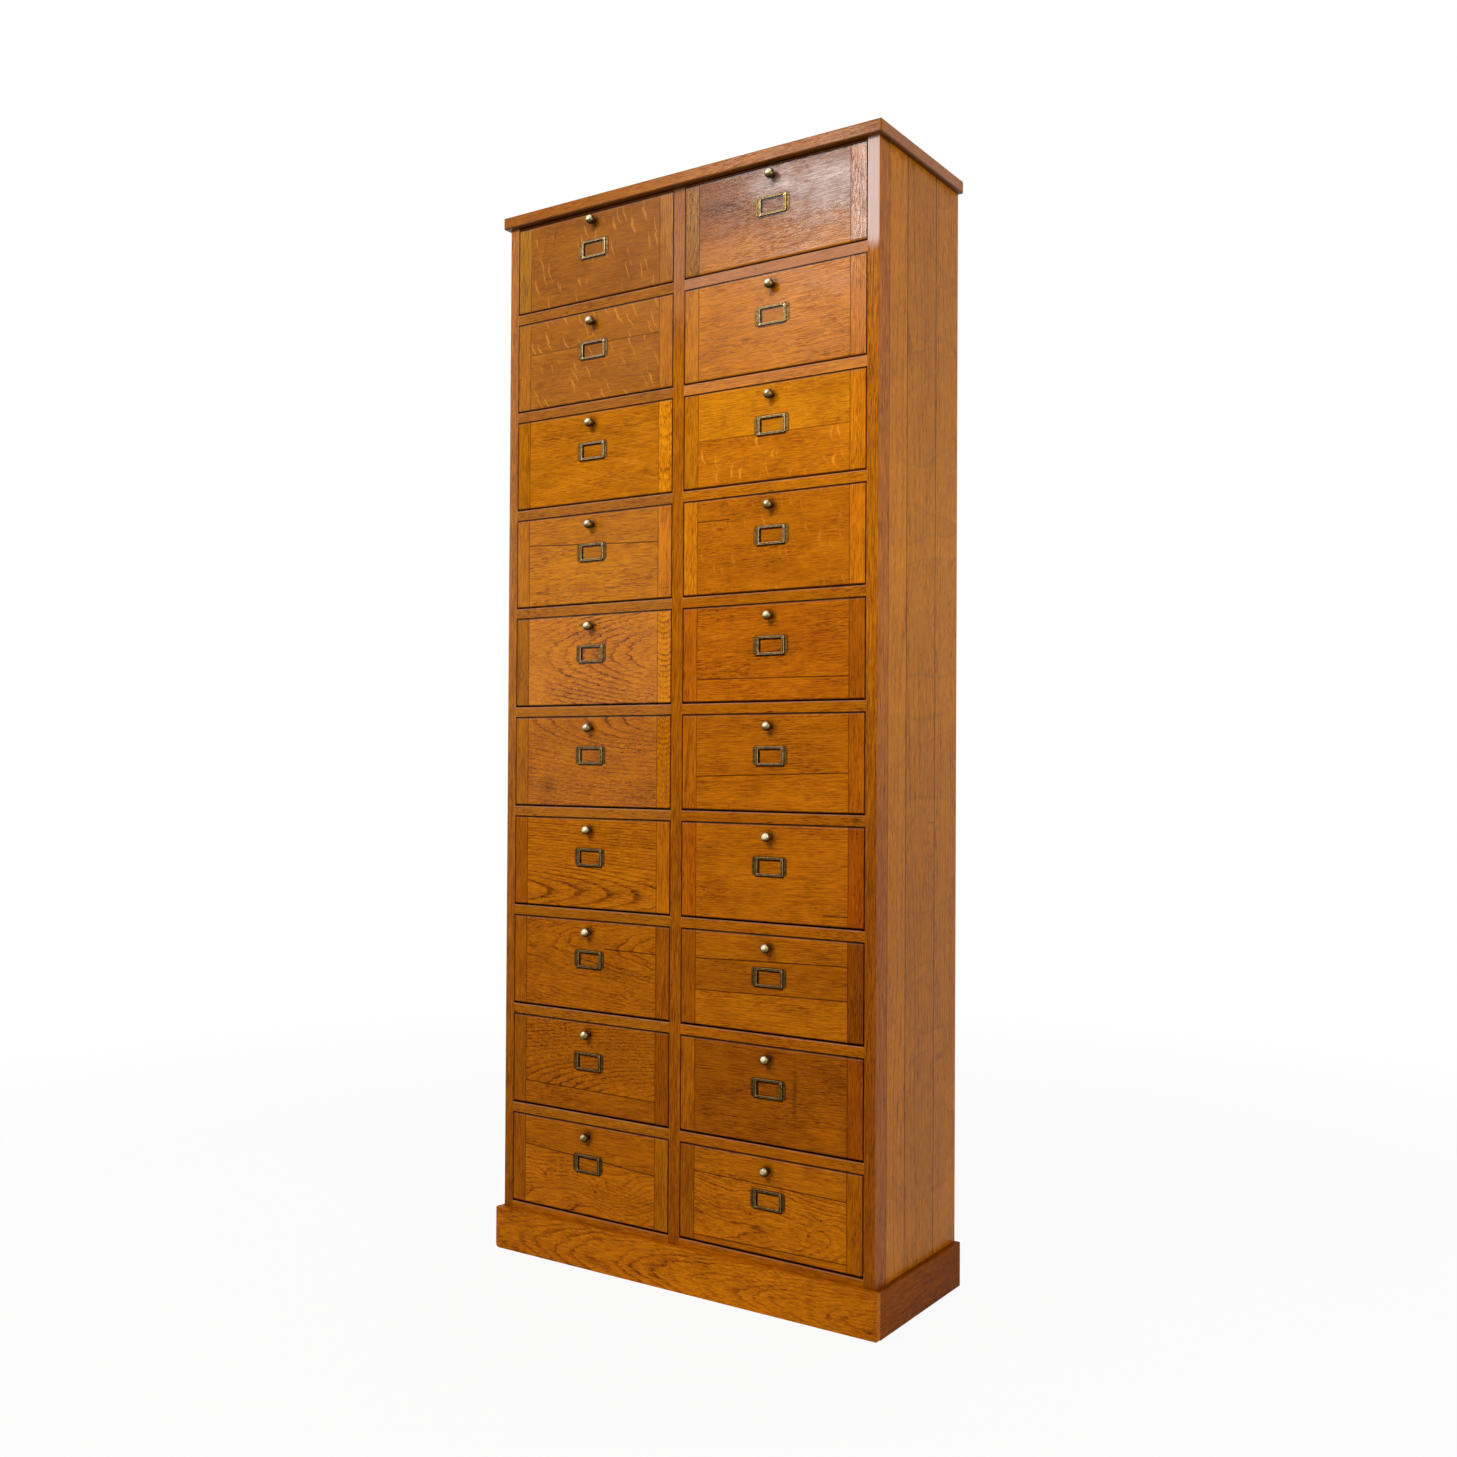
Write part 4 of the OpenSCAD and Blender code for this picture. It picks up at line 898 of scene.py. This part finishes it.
# the carcass keeps the CAD's own boards, in oak
half, back = 0.445, 0.1795
sideSeams = (0.116, 0.238)  # where a side's boards meet, from the front
stileWood = dict(cut="rift", mottle=0.6, streaks=1.3, lines=0.4)
railWood = dict(cut="rift", pitch=rowPitch, lines=0.35, pores=0.8, streaks=0.7, mottle=0.5, reveal=0)
carcassLook = {  # axes, the middle of the pattern, and the look; shades are (place, tone) along the run
    "cornice_board": ("xyz", (0, 0.1, cabinetTall), dict(
        cut="rift", seed=3.1, shine=0.16, hue=1.06, mottle=0.5, lines=0.35, paintedShade=(2.1795, 2.176, 0.7),
        shadesBy=0, shades=[(-0.45, 0.65), (-0.2, 0.76), (0.15, 0.88), (0.38, 0.74), (0.457, 0.64)])),
    "top_panels": ("xzy", (0, cabinetTall - 0.03, faceY), dict(
        cut="rift", seed=4.2, hue=0.9, paintedShade=(2.168, 2.173, 0.85),
        shadesBy=0, shades=[(-0.4, 0.48), (0.4, 0.42)])),
    "stile_left": ("zxy", (1.1, -half, faceY), dict(
        stileWood, seed=5.2, reveal=1, hue=1.06, paintedSheen=(0.3, 2.2, 0.1), paintedShade=(2.168, 2.175, 0.6),
        shades=[(0.1, 0.58), (0.8, 0.72), (1.4, 0.86), (2.15, 0.86)])),
    "stile_right": ("zxy", (1.1, half, faceY), dict(
        stileWood, seed=6.7, reveal=-1, shine=0.045, paintedSheen=(1.98, 2.01, 0.8, 1.4), paintedShade=(2.168, 2.175, 0.6),
        shades=[(0.1, 0.53), (0.8, 0.57), (1.3, 1), (2.15, 0.95)],
        flank=[(0.1, 0.6), (0.8, 0.63), (1.3, 0.9), (2.15, 0.8)])),
    "stile_centre": ("zxy", (1.1, 0, faceY), dict(
        stileWood, seed=7.9, reveal=0, paintedSheen=(1.85, 2.05, 0.15), paintedShade=(2.16, 2.172, 0.8),
        shades=[(0.1, 0.62), (0.8, 0.7), (1.4, 0.86), (2.15, 0.86)])),
    "side_boards_left": ("zyx", (1.1, faceY, -half), dict(
        seed=8.3, tone=0.85, ripple=2, seams=sideSeams)),
    "side_boards_right": ("zyx", (1.1, faceY, half), dict(
        cut="arches", seed=9.4, tone=0.88, hue=1.1, pith=(0.17, 0.05), lean=(0, 0.02), ring=0.01,
        waver=0.014, ripple=2.2, jag=0.008, shine=0.06, lines=0.6, pores=0.6, streaks=0.5, mottle=0.3,
        uneven=0, seams=(0.0425, *sideSeams), boardTones=(1, 0.86, 1.05), seamWide=2.4 * mm,
        eddies=[(0.23, 0.295, 0.012, 3), (0.125, 0.295, 0.012, 3), (0.07, 0.29, 0.012, 3),
                (0.18, 0.215, 0.018, 3), (0.25, 0.165, 0.018, 3), (-0.21, 0.205, 0.022, 4)],
        stains=[(-0.635, 0.265, 0.01, 0.03, 0.3)], bands=(0.18, 0.116, 0.14),
        shades=[(0.1, 0.95), (0.8, 0.9), (1.4, 1.2), (2, 1.05)])),
    "partition_boards": ("zyx", (1.1, faceY, 0), dict(seed=10.3, tone=0.9, seams=(0.1835,))),
    "shelves_left": ("xzy", (columnX["left"], 0.303, faceY), dict(
        railWood, seed=11.1, hue=1.12, shine=0.04, paintedSheen=(0.75, 1.15, 0.03), arris=0.18,
        knots=[(-0.1265, -0.007, 0.004, 0.8)], marks=[(-0.005, 0.2, 0.005, 0.2, 0.0016)],
        shades=[(0.3, 0.75), (0.8, 0.77), (1.2, 0.77), (2, 0.77)])),
    "shelves_right": ("xzy", (columnX["right"], 0.303, faceY), dict(
        railWood, seed=12.6, paintedSheen=(1.6, 2.02, 0.22), arris=0.16, knots=[(-0.0375, 1.675, 0.006, 1.5)],
        stains=[(0.185, 0.627, 0.014, 0.007, 0.5)],
        marks=[(-0.005, z, 0.005, z, 0.0016) for z in (0.6185, 0.828, 1.247)],
        shades=[(0.3, 0.77), (0.9, 0.8), (1.3, 0.92), (1.75, 1.25), (2, 0.9)])),
    "bottom_boards": ("xzy", (0, 0.1, faceY), dict(cut="rift", seed=13.7, tone=0.78, reveal=0, arris=0.18)),
    "bottom_cleats": ("xzy", (0, 0.1, faceY), dict(seed=14.7)),
    "plinth_front": ("xzy", (-0.1, 0.04, faceY), dict(
        cut="waves", seed=15.2, pith=(-0.01, 0.07), lean=(0, -0.09), ring=0.0045, waver=0.006, jag=0.004,
        lines=0.65, shadesBy=0, shades=[(-0.45, 0.86), (-0.15, 1), (0.25, 1.08), (0.45, 0.88)])),
    "plinth_left": ("yxz", (0, -half, 0.04), dict(seed=16.8, tone=0.75)),
    "plinth_right": ("yzx", (0, 0.04, half), dict(
        seed=17.3, shine=0.01, shadesBy=1, shades=[(-0.16, 0.43), (0.05, 0.41), (0.17, 0.34)])),
    "back_boards": ("zxy", (1.1, 0, back), dict(
        seed=18.2, tone=0.9, uneven=0.35, gloss=0.5, seamWide=2.4 * mm,
        seams=tuple(108.75 * mm * n for n in range(-3, 4)))),
    "stop_strips": ("xzy", (0, 1.1, faceY), dict(cut="rift", seed=19.9)),
}
for name, (axes, centre, look) in carcassLook.items():
    wear(nodes[name], oakMaterial(name, axes, centre, look))
for name in ("plinth_nails", "back_nails"):
    wear(nodes[name], ironNails)
wear(nodes["strike_plates_and_screws"], strikeBrass)
print("carcass finished")


room = {
    "floor": (0.86, 0.85, 0.83, 1), "floorWide": 9, "fadeOut": (1.6, 3.6),
    "fill": 0.58,  # strength of the pale surroundings
    "keyPlace": (-1, -2.56, 3.16), "keySize": (0.8, 0.5), "keyPower": 30,
    "sidePlace": (3.4, -0.9, 1.7), "sideSize": (1.8, 2), "sidePower": 22,
    "camera": (1.684, -2.4985, 1.036), "yaw": -33.688, "pitch": 0.683, "roll": 0.307, "lens": 36.09,
    "shiftY": 0.0108,
}


def seenDirectly(w):  # by the camera, also in metal or through glass
    ray = w.node("LightPath").socket.node.outputs
    kinds = [Wire(w.tree, ray[name]) for name in ("Is Camera Ray", "Is Glossy Ray", "Is Transmission Ray")]
    return (kinds[0] + kinds[1] + kinds[2]).clip()


def floorMaterial():
    material, shader, w, place = newMaterial("paleFloor", {"Roughness": 0.7, "Specular IOR Level": 0.2})
    speck = w.noise(place, 60, 3)
    wireUp(shader, w.blend(speck, room["floor"], scaled(room["floor"], 0.97)))
    glow = w.node("Emission", None, {"Strength": 1})
    lit = w.node("MixShader", None, {0: seenDirectly(w) * 0.92, 1: Wire(w.tree, shader.outputs[0]), 2: glow})
    far = w.node("VectorMath", {"operation": "LENGTH"}, {0: place}, out="Value").ease(*room["fadeOut"])
    clear = w.node("BsdfTransparent")
    out = w.tree.nodes["Material Output"]
    w.tree.links.new(w.node("MixShader", None, {0: far, 1: lit, 2: clear}).socket, out.inputs[0])
    return material


startPiece()
bpy.ops.mesh.primitive_plane_add(size=room["floorWide"], location=(0, 0, -0.5 * mm))
floor = keepPlace(bpy.context.active_object, "floor")
wear(floor, floorMaterial())

world = scene.world or bpy.data.worlds.new("studio")
scene.world = world
world.use_nodes = True
sky = Wire(world.node_tree)
backdrop = sky.tree.nodes["Background"]
backdrop.inputs["Color"].default_value = (1, 1, 1, 1)
strength = seenDirectly(sky) * (1 - room["fill"]) + room["fill"]
sky.tree.links.new(strength.socket, backdrop.inputs["Strength"])


def softLamp(name, place, aim, size, power):
    lamp = bpy.data.lights.new(name, "AREA")
    lamp.shape, lamp.size, lamp.size_y, lamp.energy = "RECTANGLE", size[0], size[1], power
    holder = bpy.data.objects.new(name, lamp)
    holder.location = place
    holder.rotation_euler = (Vector(aim) - Vector(place)).to_track_quat("-Z", "Y").to_euler()
    scene.collection.objects.link(holder)


softLamp("keyLamp", room["keyPlace"], (0, -0.15, 1.3), room["keySize"], room["keyPower"])
softLamp("sideLamp", room["sidePlace"], (0.4, 0, 1.2), room["sideSize"], room["sidePower"])

lens = bpy.data.cameras.new("camera")
lens.sensor_width, lens.lens, lens.shift_y = 36, room["lens"], room["shiftY"]
camera = bpy.data.objects.new("camera", lens)
yaw, pitch, roll = (math.radians(room[k]) for k in ("yaw", "pitch", "roll"))
forward = Vector((math.sin(yaw) * math.cos(pitch), math.cos(yaw) * math.cos(pitch), math.sin(pitch)))
right = forward.cross(Vector((0, 0, 1))).normalized()
up = right.cross(forward)
level = right * math.cos(roll) + up * math.sin(roll)
camera.matrix_world = Matrix.Translation(room["camera"]) @ Matrix(
    (level, level.cross(-forward) * -1, -forward)).transposed().to_4x4()
scene.collection.objects.link(camera)
scene.camera = camera
print("room and camera set")
